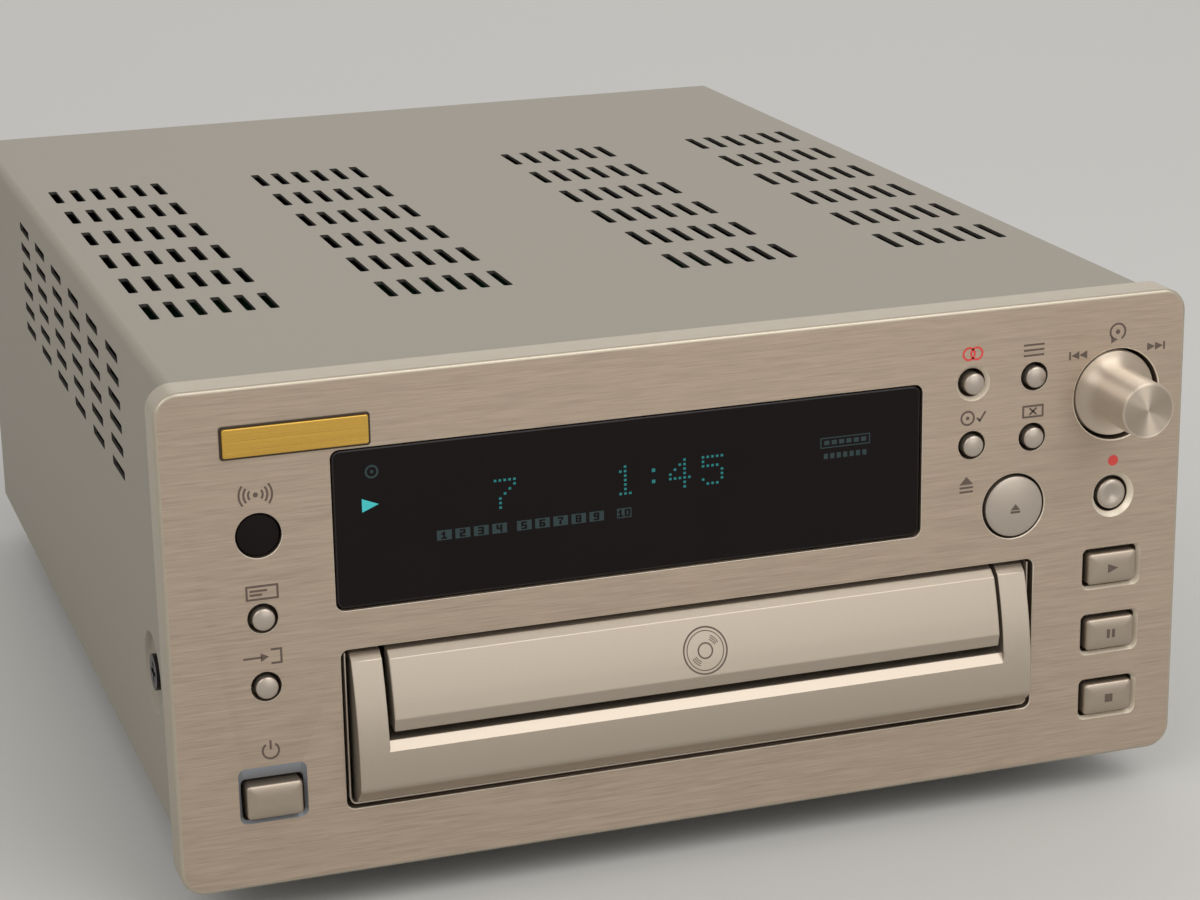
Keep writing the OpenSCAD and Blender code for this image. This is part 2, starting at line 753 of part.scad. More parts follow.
module tray_surround() color(pale) difference() {
  across(-surround_w / 2, surround_w / 2) surround_side();
  across(-notch_w / 2, notch_w / 2) polygon([
    [bevel_y - 10, bar_top - 10], [bevel_y, bar_top], [sub_back + 1, bar_top],
    [sub_back + 1, surround_z1 + 5], [bevel_y - 10, surround_z1 + 5]]);
  box(-surround_w / 2 + 4, surround_w / 2 - 4, 1.5, sub_back + 1, surround_z0 + 2.5, bar_top - 3);
}

module tray_front() color(pale) across(-front_w / 2, front_w / 2) polygon(concat(
  [[front_back, front_z0]],
  arc([1.8 - bar_proud, front_z0 + 1.8], 1.8, 270, 180, 5),
  arc([1.6, front_z1 - 2.5], 2.5, 180, 90, 5),
  [[front_back, front_z1]]));

module disc_tray() color([0.12, 0.12, 0.12]) {
  difference() {
    box(-tray_side, tray_side, front_back, tray_end, tray_z0, tray_z1);
    rod_z(0, disc_y, recess_r, recess_z, tray_z1 + 1);
    rod_z(0, disc_y, small_disc_r, recess_z - small_recess_h, tray_z1 + 1);
    rod_z(0, disc_y, slot_half, tray_z0 - 1, tray_z1 + 1);
    box(-slot_half, slot_half, disc_y, tray_end + 1, tray_z0 - 1, tray_z1 + 1);
  }
  for (sx = [-1, 1]) mirror([sx < 0 ? 1 : 0, 0, 0]) {
    box(tray_side - 4, tray_side, tray_end - e, tail_end, tray_z0, tray_z0 + 5);
    box(tray_side - runner_w + 1, tray_side, rack_y0, tail_end, runner_z0, tray_z0 + e);
  }
  intersection() {
    box(-tray_side, rack_x + rack_m, rack_y0, rack_y1, runner_z0, tray_z0 + e);
    translate([0, 0, runner_z0]) linear_extrude(runner_h + e) rack_outline();
  }
}

// Rack teeth face the pinion, with a gap at the pinion's middle
module rack_outline() {
  p = PI * rack_m;
  w = p / 4 - backlash / 4;
  tip = rack_x + 0.8 * rack_m;
  root = rack_x - 1.1 * rack_m;
  polygon(concat(
    [[-tray_side + 0.5, pinion_y - (rack_back + 1) * p]],
    [for (k = [-rack_back - 1 : rack_teeth]) for (q = [
      [root, -w - 1.1 * rack_m * tan(20)], [tip, -w + 0.8 * rack_m * tan(20)],
      [tip, w - 0.8 * rack_m * tan(20)], [root, w + 1.1 * rack_m * tan(20)]])
      [q[0], pinion_y + (k + 0.5) * p + q[1]]],
    [[-tray_side + 0.5, pinion_y + (rack_teeth + 1) * p]]));
}

// Disc drive

module drive_frame() color([0.15, 0.15, 0.16]) difference() {
  union() {
    box(-frame_out, frame_out, sub_back, frame_end, frame_z0, base_top);
    box(-frame_out, frame_out, frame_end - frame_wall, frame_end, frame_z0, frame_top);
    for (sx = [-1, 1]) mirror([sx < 0 ? 1 : 0, 0, 0]) {
      box(frame_in, frame_out, sub_back, frame_end, frame_z0, frame_top);
      box(ledge_x, frame_in + e, sub_back, frame_end, ledge_top - 3, ledge_top);
      box(tray_side - 4, frame_in + e, sub_back, frame_end, lip_z0, lip_z0 + 2);
      box(frame_out - e, surround_w / 2, sub_back, sub_back + 2, frame_z0, surround_z1);
      for (y = ear_y) box(frame_out - e, ear_x + 6, y - 6, y + 6, frame_z0, ear_top);
      box(trunnion_x - 5, trunnion_x, hinge_y - 5, hinge_y + 5, base_top - e, hinge_z + 4);
    }
    box(-frame_out, frame_out, sub_back, sub_back + 2, frame_z0, bar_top - 4);
    rod_z(pinion_x, pinion_y, post_r, base_top - e, pinion_z1);
    rod_z(wheel_x, pinion_y, post_r, base_top - e, groove_z1 + 1);
  }
  for (sx = [-1, 1]) mirror([sx < 0 ? 1 : 0, 0, 0]) {
    for (y = ear_y) rod_z(ear_x, y, 2, frame_z0 - 1, ear_top + 1);
    rod_x(hinge_y, hinge_z, post_r + run_gap, trunnion_x - 6, trunnion_x + 1);
  }
}

module drive_dampers() color(black) for (sx = [-1, 1], y = ear_y) difference() {
  rod_z(sx * ear_x, y, 5.5, floor_z, frame_z0);
  rod_z(sx * ear_x, y, 2, floor_z - 1, frame_z0 + 1);
}

module clamp_bridge() color(steel) difference() {
  box(-frame_out, frame_out, disc_y - 20, disc_y + 20, frame_top, frame_top + bridge_t);
  rod_z(0, disc_y, puck_r + 1, frame_top - 1, frame_top + bridge_t + 1);
}

module clamp_puck() color(black) {
  rod_z(0, disc_y, puck_r, puck_z0, frame_top + bridge_t + 0.3 + e);
  rod_z(0, disc_y, puck_r + puck_flange, frame_top + bridge_t + 0.3, frame_top + bridge_t + 2.3);
}

module loading_motor() color(steel) {
  rod_z(motor_x, pinion_y, motor_r, base_top, groove_z0 - 1);
  rod_z(motor_x, pinion_y, 1, groove_z0 - 1 - e, groove_z1 - 0.5);
}

module motor_pulley() color(beige) difference() {
  union() {
    rod_z(motor_x, pinion_y, pulley_r, groove_z0 - 0.4, groove_z1 + 0.3);
    rod_z(motor_x, pinion_y, pulley_r + belt_t, groove_z0 - 0.4, groove_z0);
  }
  rod_z(motor_x, pinion_y, 1 + run_gap, groove_z0 - 1, groove_z1 - 0.4);
}

module belt_loop(extra) hull() {
  translate([wheel_x, pinion_y]) circle(wheel_r + extra);
  translate([motor_x, pinion_y]) circle(pulley_r + extra);
}

module drive_belt() color(black)
  translate([0, 0, groove_z0 + 0.4]) linear_extrude(2.2) difference() {
    belt_loop(0.2 + belt_t);
    belt_loop(0.2);
  }

module belt_wheel() color(beige) difference() {
  union() {
    gear(wheel_x, pinion_y, small_n, gear_m, 180 + 180 / small_n, big_z0, groove_z0 - 0.4);
    rod_z(wheel_x, pinion_y, wheel_r + belt_t, groove_z0 - 0.4 - e, groove_z0);
    rod_z(wheel_x, pinion_y, wheel_r, groove_z0 - e, groove_z1);
  }
  rod_z(wheel_x, pinion_y, post_r + run_gap, big_z0 - 1, groove_z1 + 1);
}

module drive_gear() color(beige) difference() {
  union() {
    gear(pinion_x, pinion_y, big_n, gear_m, 0, big_z0, big_z1);
    rod_z(pinion_x, pinion_y, post_r + 2.5, big_z1 - e, pinion_z0 + e);
    gear(pinion_x, pinion_y, pinion_n, rack_m, 180, pinion_z0, pinion_z1);
  }
  rod_z(pinion_x, pinion_y, post_r + run_gap, big_z0 - 1, pinion_z1 + 1);
}

module traverse_frame() color(steel) difference() {
  union() {
    box(-traverse_x, traverse_x, traverse_y0, hinge_y + 3, traverse_z0, traverse_z1);
    for (sx = [-1, 1]) {
      mirror([sx < 0 ? 1 : 0, 0, 0]) rod_x(hinge_y, hinge_z, post_r, traverse_x - 3, trunnion_x);
      for (y = [rail_y0, rail_y1 - 3])
        box(sx * rail_x - 3, sx * rail_x + 3, y, y + 3, traverse_z1 - e, rail_z + 3);
    }
    for (y = [rail_y0, rail_y1 - 3])
      box(screw_x - 2.8, screw_x + 3, y, y + 3, traverse_z1 - e, rail_z + 3);
  }
  box(-rail_x + 6, rail_x - 6, rail_y0 + 8, rail_y1 - 6, traverse_z0 - 1, traverse_z1 + 1);
  for (sx = [-1, 1]) rod_y([sx * rail_x, rail_z], 2 * (rail_r + run_gap), rail_y0 - 1, rail_y1 + 1);
  rod_y([screw_x, rail_z], 2 * (rail_r + run_gap), rail_y0 - 1, rail_y1 + 1);
}

module sled_rails() color(silver) for (sx = [-1, 1])
  rod_y([sx * rail_x, rail_z], 2 * rail_r, rail_y0, rail_y1);

module lead_screw() color(silver)
  rod_y([screw_x, rail_z], 2 * rail_r, rail_y0 - 6, rail_y1);

module sled_motor() color(steel) difference() {
  intersection() {
    rod_y([screw_x, rail_z], 13, rail_y0 - 22, rail_y0 - 1);
    box(screw_x - 10, screw_x + 10, rail_y0 - 30, rail_y0, traverse_z1, rail_z + 5.5);
  }
  rod_y([screw_x, rail_z], 2 * (rail_r + run_gap), rail_y0 - 6.5, rail_y0);
}

module pickup_sled() color([0.2, 0.2, 0.22]) difference() {
  union() {
    box(-sled_x, sled_x, sled_y0, sled_y0 + sled_len, sled_z0, sled_z1);
    box(sled_x - e, screw_x - rail_r - 0.3, sled_y0 + 8, sled_y0 + 18, rail_z - 1.5, rail_z + 1.5);
  }
  for (sx = [-1, 1])
    rod_y([sx * rail_x, rail_z], 2 * (rail_r + run_gap), sled_y0 - 1, sled_y0 + sled_len + 1);
}

module objective_lens() color([0.3, 0.35, 0.5]) {
  rod_z(0, lens_y, 5, sled_z1, sled_z1 + 2.4);
  translate([0, lens_y, sled_z1 + 2.4 - 3.2]) intersection() {
    sphere(4);
    rod_z(0, 0, 3, 3.2 - e, 5);
  }
}

module spindle_motor() color(steel) difference() {
  rod_z(0, disc_y, spindle_r, traverse_z1, spindle_z1);
  rod_z(0, disc_y, 1 + run_gap, spindle_z1 - 5, spindle_z1 + 1);
}

module turntable() color(black) {
  rod_z(0, disc_y, turntable_r, table_z0, seat_z);
  rod_z(0, disc_y, hub_r, seat_z - e, seat_z + 1.2);
  translate([0, disc_y, seat_z + 1.2 - e]) cylinder(r1 = hub_r, r2 = hub_r - 0.7, h = 0.7 + e);
  rod_z(0, disc_y, 1, spindle_z1 - 4.5, table_z0 + e);
}

// Boards

module main_board() color(green) difference() {
  box(-main_x, main_x, main_y0, main_y1, main_z, main_z + pcb_t);
  for (sx = [-1, 1], y = bracket_hole_y)
    rod_z(sx * bracket_hole_x, y, 1.7, main_z - 1, main_z + pcb_t + 1);
}

module board_brackets() color(steel) for (sx = [-1, 1]) mirror([sx < 0 ? 1 : 0, 0, 0]) difference() {
  union() {
    box(bracket_x, bracket_x + chassis_t, bracket_y0, bracket_y1, floor_z, main_z);
    box(bracket_x, main_x, bracket_y0, bracket_y1, floor_z, floor_z + chassis_t);
    box(bracket_x, main_x, bracket_y0, bracket_y1, main_z - chassis_t, main_z);
  }
  for (y = bracket_hole_y) rod_z(bracket_hole_x, y, 1.3, main_z - 5, main_z + 1);
}

module can(x, y, z, r, h) {
  rod_z(x, y, r, z, z + h);
}

module board_parts() color([0.16, 0.17, 0.2]) {
  top = main_z + pcb_t;
  main_len = main_y1 - main_y0;
  chip_y = main_y0 + 0.29 * main_len;
  can_y = main_y0 + 0.53 * main_len;
  for (x = [-0.61, -0.22] * main_x) box(x, x + 22, chip_y, chip_y + 22, top, top + 2.4);
  for (x = [0.32, 0.52] * main_x) box(x, x + 12, chip_y + 4, chip_y + 24, top, top + 3);
  for (i = [0 : 3]) can((0.15 * i - 0.65) * main_x, can_y, top, 5, 12);
  for (i = [0 : 2]) can((0.13 * i + 0.32) * main_x, can_y, top, 4, 10);
  for (x = [-0.82, -0.39, 0.5] * main_x) box(x, x + 26, main_y0 + 12, main_y0 + 18, top, top + 8);
  supply_top = supply_z + pcb_t;
  for (i = [0 : 1]) can(supply_x0 + 16 + 24 * i, supply_y0 + 16, supply_top, 9, 28);
  box(supply_x0 + 12, supply_x0 + 58, supply_y1 - 10, supply_y1 - 7, supply_top, supply_top + 26);
  can(supply_x0 + 64, supply_y0 + 14, supply_top, 6, 18);
}

// Iron core with its coil round the middle leg
module power_transformer() color([0.3, 0.28, 0.26]) {
  y0 = supply_y0 - 1;
  y1 = y0 + 0.8 * supply_depth;
  core_y0 = y0 + 0.19 * supply_depth;
  core_y1 = y1 - 0.19 * supply_depth;
  z1 = floor_z + 40;
  xm = (core_x0 + core_x1) / 2;
  difference() {
    box(core_x0, core_x1, core_y0, core_y1, floor_z, z1);
    for (sx = [-1, 1]) box(xm + sx * 14.5 - 5, xm + sx * 14.5 + 5, y0, y1, floor_z + 8, z1 - 8);
  }
  difference() {
    box(xm - 19.2, xm + 19.2, y0, y1, floor_z + 8.3, z1 - 8.3);
    box(xm - 9.8, xm + 9.8, core_y0 - 0.3, core_y1 + 0.3, floor_z + 7, z1 - 7);
  }
}

module power_board() color(green) difference() {
  box(supply_x0, supply_x1, supply_y0, supply_y1, supply_z, supply_z + pcb_t);
  for (x = [supply_x0 + 5, supply_x1 - 5], y = [supply_y0 + 5, supply_y1 - 5])
    rod_z(x, y, 1.7, supply_z - 1, supply_z + pcb_t + 1);
}

// Case

module bottom_chassis() color(steel) difference() {
  union() {
    box(-inner_x, inner_x, sub_back, rear_out, skirt_z, floor_z);
    box(-surround_w / 2, surround_w / 2, sub_back, sub_back + chassis_t, skirt_z, frame_z0 - 1);
    for (sx = [-1, 1]) mirror([sx < 0 ? 1 : 0, 0, 0]) {
      box(inner_x - chassis_t, inner_x, sub_back, rear_in, skirt_z, skirt_z + flange_h);
      box(tab_x - chassis_t, tab_x, side_screw_y - 10, side_screw_y + 10, skirt_z, side_screw_z + 12);
      box(inner_x - 12, inner_x, rear_in - chassis_t, rear_in, skirt_z, floor_z + 12);
    }
    for (x = [supply_x0 + 5, supply_x1 - 5], y = [supply_y0 + 5, supply_y1 - 5])
      rod_z(x, y, 3, floor_z - e, supply_z);
  }
  for (sx = [-1, 1]) mirror([sx < 0 ? 1 : 0, 0, 0]) {
    rod_x(side_screw_y, side_screw_z, 1.55, tab_x - 3, inner_x + 1);
    rod_y([inner_x - 6, floor_z + 6], 3.2, rear_in - 3, rear_in + 1);
    for (y = ear_y) rod_z(ear_x, y, 1.55, skirt_z - 1, floor_z + 1);
  }
  for (x = [supply_x0 + 5, supply_x1 - 5], y = [supply_y0 + 5, supply_y1 - 5])
    rod_z(x, y, 1.3, floor_z + 1, supply_z + 1);
}

module feet() color(black) for (sx = [-1, 1], y = [foot_front_y, foot_rear]) {
  rod_z(sx * foot_x, y, foot_d / 2, -foot_h + 1.5, skirt_z);
  translate([sx * foot_x, y, -foot_h]) cylinder(d1 = foot_d - 3, d2 = foot_d, h = 1.5 + e);
}

module slot_row(n) {
  for (i = [0 : n - 1]) translate([(i - (n - 1) / 2) * slot_pitch, 0])
    square([slot_w, slot_len], center = true);
}

// Folded sheet, drawn from the front
module cover_outline(inset, low) {
  w = cover_w / 2 - inset;
  h = cover_top - inset;
  r = fold_r - inset;
  translate([-w, low]) square([2 * w, h - r - low]);
  translate([-w + r, low]) square([2 * (w - r), h - low]);
  for (sx = [-1, 1]) translate([sx * (w - r), h - r]) circle(r);
}

module top_cover() color(cover_grey) difference() {
  union() {
    upright(panel_t, case_depth) difference() {
      cover_outline(0, skirt_z);
      cover_outline(sheet_t, skirt_z - 1);
    }
    box(-inner_x + 2, inner_x - 2, rear_in - sheet_t, rear_in, cover_top - 9, cover_top - sheet_t / 2);
    for (sx = [-1, 1]) mirror([sx < 0 ? 1 : 0, 0, 0])
      rod_x(side_screw_y, side_screw_z, dimple_d / 2 + 1, tab_x, tab_x + dimple_h + e);
  }
  for (at = cover_rear_at) rod_y(at, 3.2, rear_in - 3, rear_in + 1);
  for (r = [0 : row_count - 1]) {
    y = first_row_y + r * row_pitch;
    for (x = [-group_out_x, -group_in_x, group_in_x, group_out_x])
      translate([x, y, cover_top - 3]) linear_extrude(6) slot_row(slot_count);
    for (i = [0 : slot_count - 1]) {
      z = cover_top - side_row_drop - i * slot_pitch;
      box(-cover_w, cover_w, y - slot_len / 2, y + slot_len / 2, z - slot_w / 2, z + slot_w / 2);
    }
  }
  for (sx = [-1, 1]) mirror([sx < 0 ? 1 : 0, 0, 0]) {
    translate([cover_w / 2 - dimple_h, side_screw_y, side_screw_z]) rotate([0, 90, 0])
      cylinder(r1 = dimple_d / 2 - 1.2, r2 = dimple_d / 2, h = dimple_h + e);
    rod_x(side_screw_y, side_screw_z, 1.6, cover_w / 2 - 6, cover_w / 2 + 1);
  }
}

module cover_screws() color(black) for (sx = [-1, 1]) mirror([sx < 0 ? 1 : 0, 0, 0]) difference() {
  x0 = cover_w / 2 - dimple_h;
  union() {
    rod_x(side_screw_y, side_screw_z, side_head_d / 2, x0, x0 + 1.4);
    rod_x(side_screw_y, side_screw_z, 1.5, x0 - 7, x0 + e);
  }
  box(x0 + 0.6, x0 + 3, side_screw_y - 2.2, side_screw_y + 2.2, side_screw_z - 0.5, side_screw_z + 0.5);
  box(x0 + 0.6, x0 + 3, side_screw_y - 0.5, side_screw_y + 0.5, side_screw_z - 2.2, side_screw_z + 2.2);
}

// Rear

jack_at = [for (i = [0, 1], j = [0, 1]) [jack_x + i * jack_pitch, jack_z + j * jack_pitch]];
cover_rear_at = [for (x = [-inner_x + 6, 0, inner_x - 6]) [x, cover_top - 5.4]];
rear_screw_at = concat(cover_rear_at, [[-inner_x + 6, floor_z + 6], [inner_x - 6, floor_z + 6]]);

module rear_panel() color(black) difference() {
  upright(rear_in, rear_out) cover_outline(sheet_t + cover_gap, floor_z);
  for (at = jack_at) rod_y(at, 2 * jack_r + 2, rear_in - 1, rear_out + 1);
  for (x = optical_x) slab([x, jack_z], 9, 9, 0.5, rear_in - 1, rear_out + 1);
  slab([inlet_x, inlet_z], inlet_w - 4, inlet_h - 3, 1, rear_in - 1, rear_out + 1);
  for (at = rear_screw_at) rod_y(at, 3.4, rear_in - 1, rear_out + 1);
}

module line_jack_block() color(black) difference() {
  union() {
    box(jack_x - 7, jack_x + jack_pitch + 7, main_y1 - 4, rear_in, main_z + pcb_t, jack_z + jack_pitch + 7);
    for (at = jack_at) {
      rod_y(at, 2 * jack_r + 1.6, rear_in - e, rear_out + 1);
      rod_y(at, 2 * jack_r - 1.6, rear_out + 1 - e, rear_out + jack_len - 0.6);
    }
  }
  for (at = jack_at) rod_y(at, 3.3, rear_out - 4, rear_out + jack_len + 1);
}

module line_jack_sleeves() color(silver) for (at = jack_at) difference() {
  rod_y(at, 2 * jack_r, rear_out + 1, rear_out + jack_len);
  rod_y(at, 2 * jack_r - 1.4, rear_out, rear_out + jack_len + 1);
}

module optical_jacks() color(black) for (x = optical_x) difference() {
  union() {
    box(x - 5.5, x + 5.5, main_y1 - 2, rear_in, main_z + pcb_t, jack_z + 5.5);
    slab([x, jack_z], 8.6, 8.6, 0.5, rear_in - e, rear_out + 1.5);
  }
  slab([x, jack_z], 6.4, 5.6, 0.5, rear_out - 7, rear_out + 2);
}

module mains_inlet() color(black) {
  at = [inlet_x, inlet_z];
  difference() {
    union() {
      slab(at, inlet_w, inlet_h, 1, rear_out, rear_out + 2);
      slab(at, inlet_w - 4.4, inlet_h - 3.4, 1, rear_in - 16, rear_out + e);
    }
    slab(at, inlet_w - 7, inlet_h - 6, 2.5, rear_out - 10, rear_out + 3);
  }
  for (sx = [-1, 1]) rod_y([inlet_x + sx * 4.3, inlet_z], 2.4, rear_out - 13, rear_out - 0.5);
}

module rear_screws() color(steel) for (at = rear_screw_at) {
  rod_y(at, 6, rear_out, rear_out + 1.6);
  rod_y(at, 3, rear_in - 4, rear_out + e);
}

module screw_down(x, y, z, len) {
  rod_z(x, y, 3, z, z + 1.8);
  rod_z(x, y, 1.25, z - len, z + e);
}

module internal_screws() color(silver) {
  for (sx = [-1, 1]) {
    for (y = ear_y) screw_down(sx * ear_x, y, ear_top, ear_top - skirt_z - 0.3);
    for (y = bracket_hole_y)
      screw_down(sx * bracket_hole_x, y, main_z + pcb_t, pcb_t + chassis_t + 1);
  }
  for (x = [supply_x0 + 5, supply_x1 - 5], y = [supply_y0 + 5, supply_y1 - 5])
    screw_down(x, y, supply_z + pcb_t, pcb_t + 4);
  for (p = pillars) {
    rod_y(p, 5.6, board_y + pcb_t, board_y + pcb_t + 1.6);
    rod_y(p, 2.3, board_y - 4, board_y + pcb_t + e);
  }
}

placed() front_panel();
placed() front_subframe();
placed() display_window();
placed() sensor_window();
placed() name_plate();
placed() power_button();
placed() display_button();
placed() input_button();
placed() sync_button();
placed() menu_button();
placed() finalize_button();
placed() erase_button();
placed() open_button();
placed() record_button();
placed() play_button();
placed() pause_button();
placed() stop_button();
placed() jog_knob();
placed() jog_shaft();
placed() jog_plunger();
placed() jog_encoder();
placed() front_board();
placed() key_switches();
placed() display_tube();
placed() tray_surround();
placed() tray_front();
placed() disc_tray();
placed() drive_frame();
placed() drive_dampers();
placed() clamp_bridge();
placed() clamp_puck();
placed() loading_motor();
placed() motor_pulley();
placed() drive_belt();
placed() belt_wheel();
placed() drive_gear();
placed() traverse_frame();
placed() sled_rails();
placed() lead_screw();
placed() sled_motor();
placed() pickup_sled();
placed() objective_lens();
placed() spindle_motor();
placed() turntable();
placed() main_board();
placed() board_brackets();
placed() board_parts();
placed() power_transformer();
placed() power_board();
placed() bottom_chassis();
placed() feet();
placed() top_cover();
placed() cover_screws();
placed() rear_panel();
placed() line_jack_block();
placed() line_jack_sleeves();
placed() optical_jacks();
placed() mains_inlet();
placed() rear_screws();
placed() internal_screws();
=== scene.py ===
"""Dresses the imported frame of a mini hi-fi disc recorder. Laid out as a Blender add-on, run as a script."""

import math
from types import SimpleNamespace

import bmesh
import bpy
from bpy.props import FloatProperty, FloatVectorProperty, PointerProperty
from bpy.types import Operator, Panel, PropertyGroup
from mathutils import Euler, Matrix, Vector
from mathutils.geometry import tessellate_polygon


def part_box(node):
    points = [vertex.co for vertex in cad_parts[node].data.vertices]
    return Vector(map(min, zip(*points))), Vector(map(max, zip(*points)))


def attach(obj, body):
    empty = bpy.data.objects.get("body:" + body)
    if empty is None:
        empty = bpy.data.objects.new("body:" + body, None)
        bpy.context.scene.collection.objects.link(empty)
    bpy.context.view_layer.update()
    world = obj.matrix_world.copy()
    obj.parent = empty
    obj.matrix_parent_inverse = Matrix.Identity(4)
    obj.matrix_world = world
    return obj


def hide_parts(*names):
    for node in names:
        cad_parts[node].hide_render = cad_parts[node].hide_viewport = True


bl_info = {
    "name": "Mini disc recorder",
    "version": (1, 0, 0),
    "blender": (4, 5, 0),
    "location": "3D View > Sidebar > Recorder",
    "description": "Builds the visible pieces of a mini hi-fi disc recorder round its solid frame",
    "category": "Object",
}

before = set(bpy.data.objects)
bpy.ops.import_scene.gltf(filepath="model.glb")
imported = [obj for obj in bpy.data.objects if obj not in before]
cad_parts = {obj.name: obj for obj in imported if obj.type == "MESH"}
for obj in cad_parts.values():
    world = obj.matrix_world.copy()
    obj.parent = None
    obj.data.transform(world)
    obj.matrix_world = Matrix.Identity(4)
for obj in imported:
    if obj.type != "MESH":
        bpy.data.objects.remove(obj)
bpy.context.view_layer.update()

MM = 0.001
PANEL_LOW, PANEL_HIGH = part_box("front_panel")
PANEL_W = (PANEL_HIGH.x - PANEL_LOW.x) / MM
PANEL_H = (PANEL_HIGH.z - PANEL_LOW.z) / MM
PANEL_T = (PANEL_HIGH.y - PANEL_LOW.y) / MM
SMALL_BUTTONS = ("display_button", "input_button", "sync_button", "menu_button", "finalize_button",
                 "erase_button")
BAR_BUTTONS = ("play_button", "pause_button", "stop_button")
RIGHT_BUTTONS = ("sync_button", "menu_button", "finalize_button", "open_button") + BAR_BUTTONS

# Millimetres to the right and up by which visible controls sit off their solids
OFFSETS = {**dict.fromkeys(RIGHT_BUTTONS, (0.2, -0.25)), "record_button": (0.0, -0.5)}

# Millimetres: width of a button's guide collar, depths of its two faces, and radius of the stem behind it
COLLAR = 0.8
COLLAR_FRONT = PANEL_T + 0.1
COLLAR_BACK = PANEL_T + 1.3
STEM_R = 1.5

# Metres within which points merge, and degrees from which an edge is softened
MERGE = 1e-7
SOFT_ANGLE = 32


def srgb(red, green, blue):
    """Linear colour of a display colour with 8 bits a channel."""
    return tuple(((c / 255 + 0.055) / 1.055) ** 2.4 for c in (red, green, blue))


def place(x, y, z):
    """Frame point of panel millimetres: x from the middle, y back from the face, z up from the edge."""
    return Vector((x * MM, PANEL_LOW.y + y * MM, PANEL_LOW.z + z * MM))


def extent(node):
    """A solid's box in panel millimetres: (x0, y0, z0), (x1, y1, z1)."""
    return [(c.x / MM, (c.y - PANEL_LOW.y) / MM, (c.z - PANEL_LOW.z) / MM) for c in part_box(node)]


def middle(node):
    """Front view middle (x, z) of a solid in panel millimetres."""
    low, high = extent(node)
    return (low[0] + high[0]) / 2, (low[2] + high[2]) / 2


def face_size(node):
    """Front view width and height of a solid in panel millimetres."""
    low, high = extent(node)
    return high[0] - low[0], high[2] - low[2]


def seat(node):
    """Middle of a control as it is seen; those on the right sit a little off their solids."""
    x, z = middle(node)
    dx, dz = OFFSETS.get(node, (0.0, 0.0))
    return x + dx, z + dz


def colour(name, about, red, green, blue):
    return FloatVectorProperty(name=name, description=about, subtype="COLOR", size=3, min=0.0, max=1.0,
                               default=srgb(red, green, blue))


def length(name, about, size):
    return FloatProperty(name=name, description=about, unit="LENGTH", min=0.0, precision=5, default=size * MM)


def power(name, about, watts):
    return FloatProperty(name=name, description=about, subtype="POWER", default=watts)


# Settings

class DeckColours(PropertyGroup):
    """Colours of the finishes"""
    panel: colour("Front panel", "Brushed and anodised aluminium of the front", 170, 153, 136)
    edge: colour("Panel edge", "Cut metal round the edge of the front", 182, 172, 155)
    cover: colour("Cover", "Satin paint of the folded cover", 145, 138, 126)
    tray: colour("Tray front", "Metallic paint of the tray front and its surround", 173, 161, 146)
    button: colour("Round buttons", "Satin metal of the round buttons", 182, 171, 159)
    # Darker than the round buttons' metal: painted shade.
    key: colour("Rectangular buttons", "Satin metal of the rectangular buttons", 168, 155, 140)
    # Darkened for the knob's end face as painted shade.
    knob: colour("Knob", "Turned aluminium of the jog knob", 220, 205, 187)
    window: colour("Window", "Smoked plastic of the display window", 17, 10, 11)
    # Pale enough to stand in for the bevels' highlights as well: painted highlight.
    cut: colour("Cut edges", "Bare metal of the bevels round the holes", 234, 223, 203)
    glow: colour("Display glow", "Brightest sign of the display", 70, 182, 184)
    faint: colour("Faint glow", "Signs of the display that are hardly lit", 43, 54, 55)
    mark: colour("Markings", "Printed signs on the front", 88, 74, 64)
    mark_red: colour("Red markings", "Printed signs of the recording keys", 205, 62, 56)
    plate: colour("Name plate", "Gilt of the bare name plate", 206, 164, 78)
    floor: colour("Floor", "Plain floor under the object", 196, 195, 192)


class DeckSizes(PropertyGroup):
    """Sizes that only the visible pieces have"""
    panel_round: length("Panel edge", "Rounding of the panel's front edge", 0.7)
    panel_corner: length("Panel corner", "Corner radius of the panel", 5.0)
    panel_drop: length("Panel drop", "How far the panel reaches below its solid", 0.65)
    hole_bevel: length("Hole bevel", "Bevel round the rectangular openings", 0.6)
    small_hole: length("Small hole", "Diameter of a small button's hole", 6.0)
    open_hole: length("Open hole", "Diameter of the open button's hole", 14.0)
    record_hole: length("Record hole", "Diameter of the record button's hole", 7.8)
    jog_hole: length("Knob hole", "Diameter of the hole round the knob", 19.5)
    sensor_hole: length("Sensor hole", "Diameter of the remote sensor's hole", 9.0)
    bar_hole_w: length("Key hole width", "Width of a rectangular button's hole", 12.4)
    bar_hole_h: length("Key hole height", "Height of a transport button's hole", 8.1)
    hole_depth: length("Bevel depth", "Depth of the bevel round the transport buttons' holes", 1.0)
    power_hole_h: length("Power hole height", "Height of the power button's hole", 8.3)
    power_slope: length("Power slope", "Height of the slope above the power button's hole", 2.6)
    power_sill: length("Power sill", "Height of the bevel below the power button's hole", 0.65)
    sync_sink: length("Sync countersink", "Width of the countersink on the sync button's hole", 0.75)
    record_sink: length("Record countersink", "Width of the countersink on the record button's hole", 0.95)
    record_set: length("Record set", "How far the record button's face lies behind its solid's face", 1.3)
    window_edge: length("Window edge", "How far the visible window reaches past its solid", 0.3)
    slot_length: length("Slot length", "Length of a vent slot", 14.0)
    slot_width: length("Slot width", "Width of a vent slot", 2.05)
    slot_pitch: length("Slot pitch", "Distance between slots side by side", 5.0)
    row_pitch: length("Row pitch", "Distance between rows of slots", 24.0)
    first_row: length("First row", "Depth of the first row of slots behind the panel's face", 67.0)
    sheet: length("Sheet", "Thickness of the cover's sheet", 0.7)
    fold: length("Fold", "Outer radius of the cover's folds", 2.0)
    soft_edge: length("Soft edge", "Rounding of moulded edges", 0.35)
    print_height: length("Print", "Height of a printed sign above its ground", 0.04)


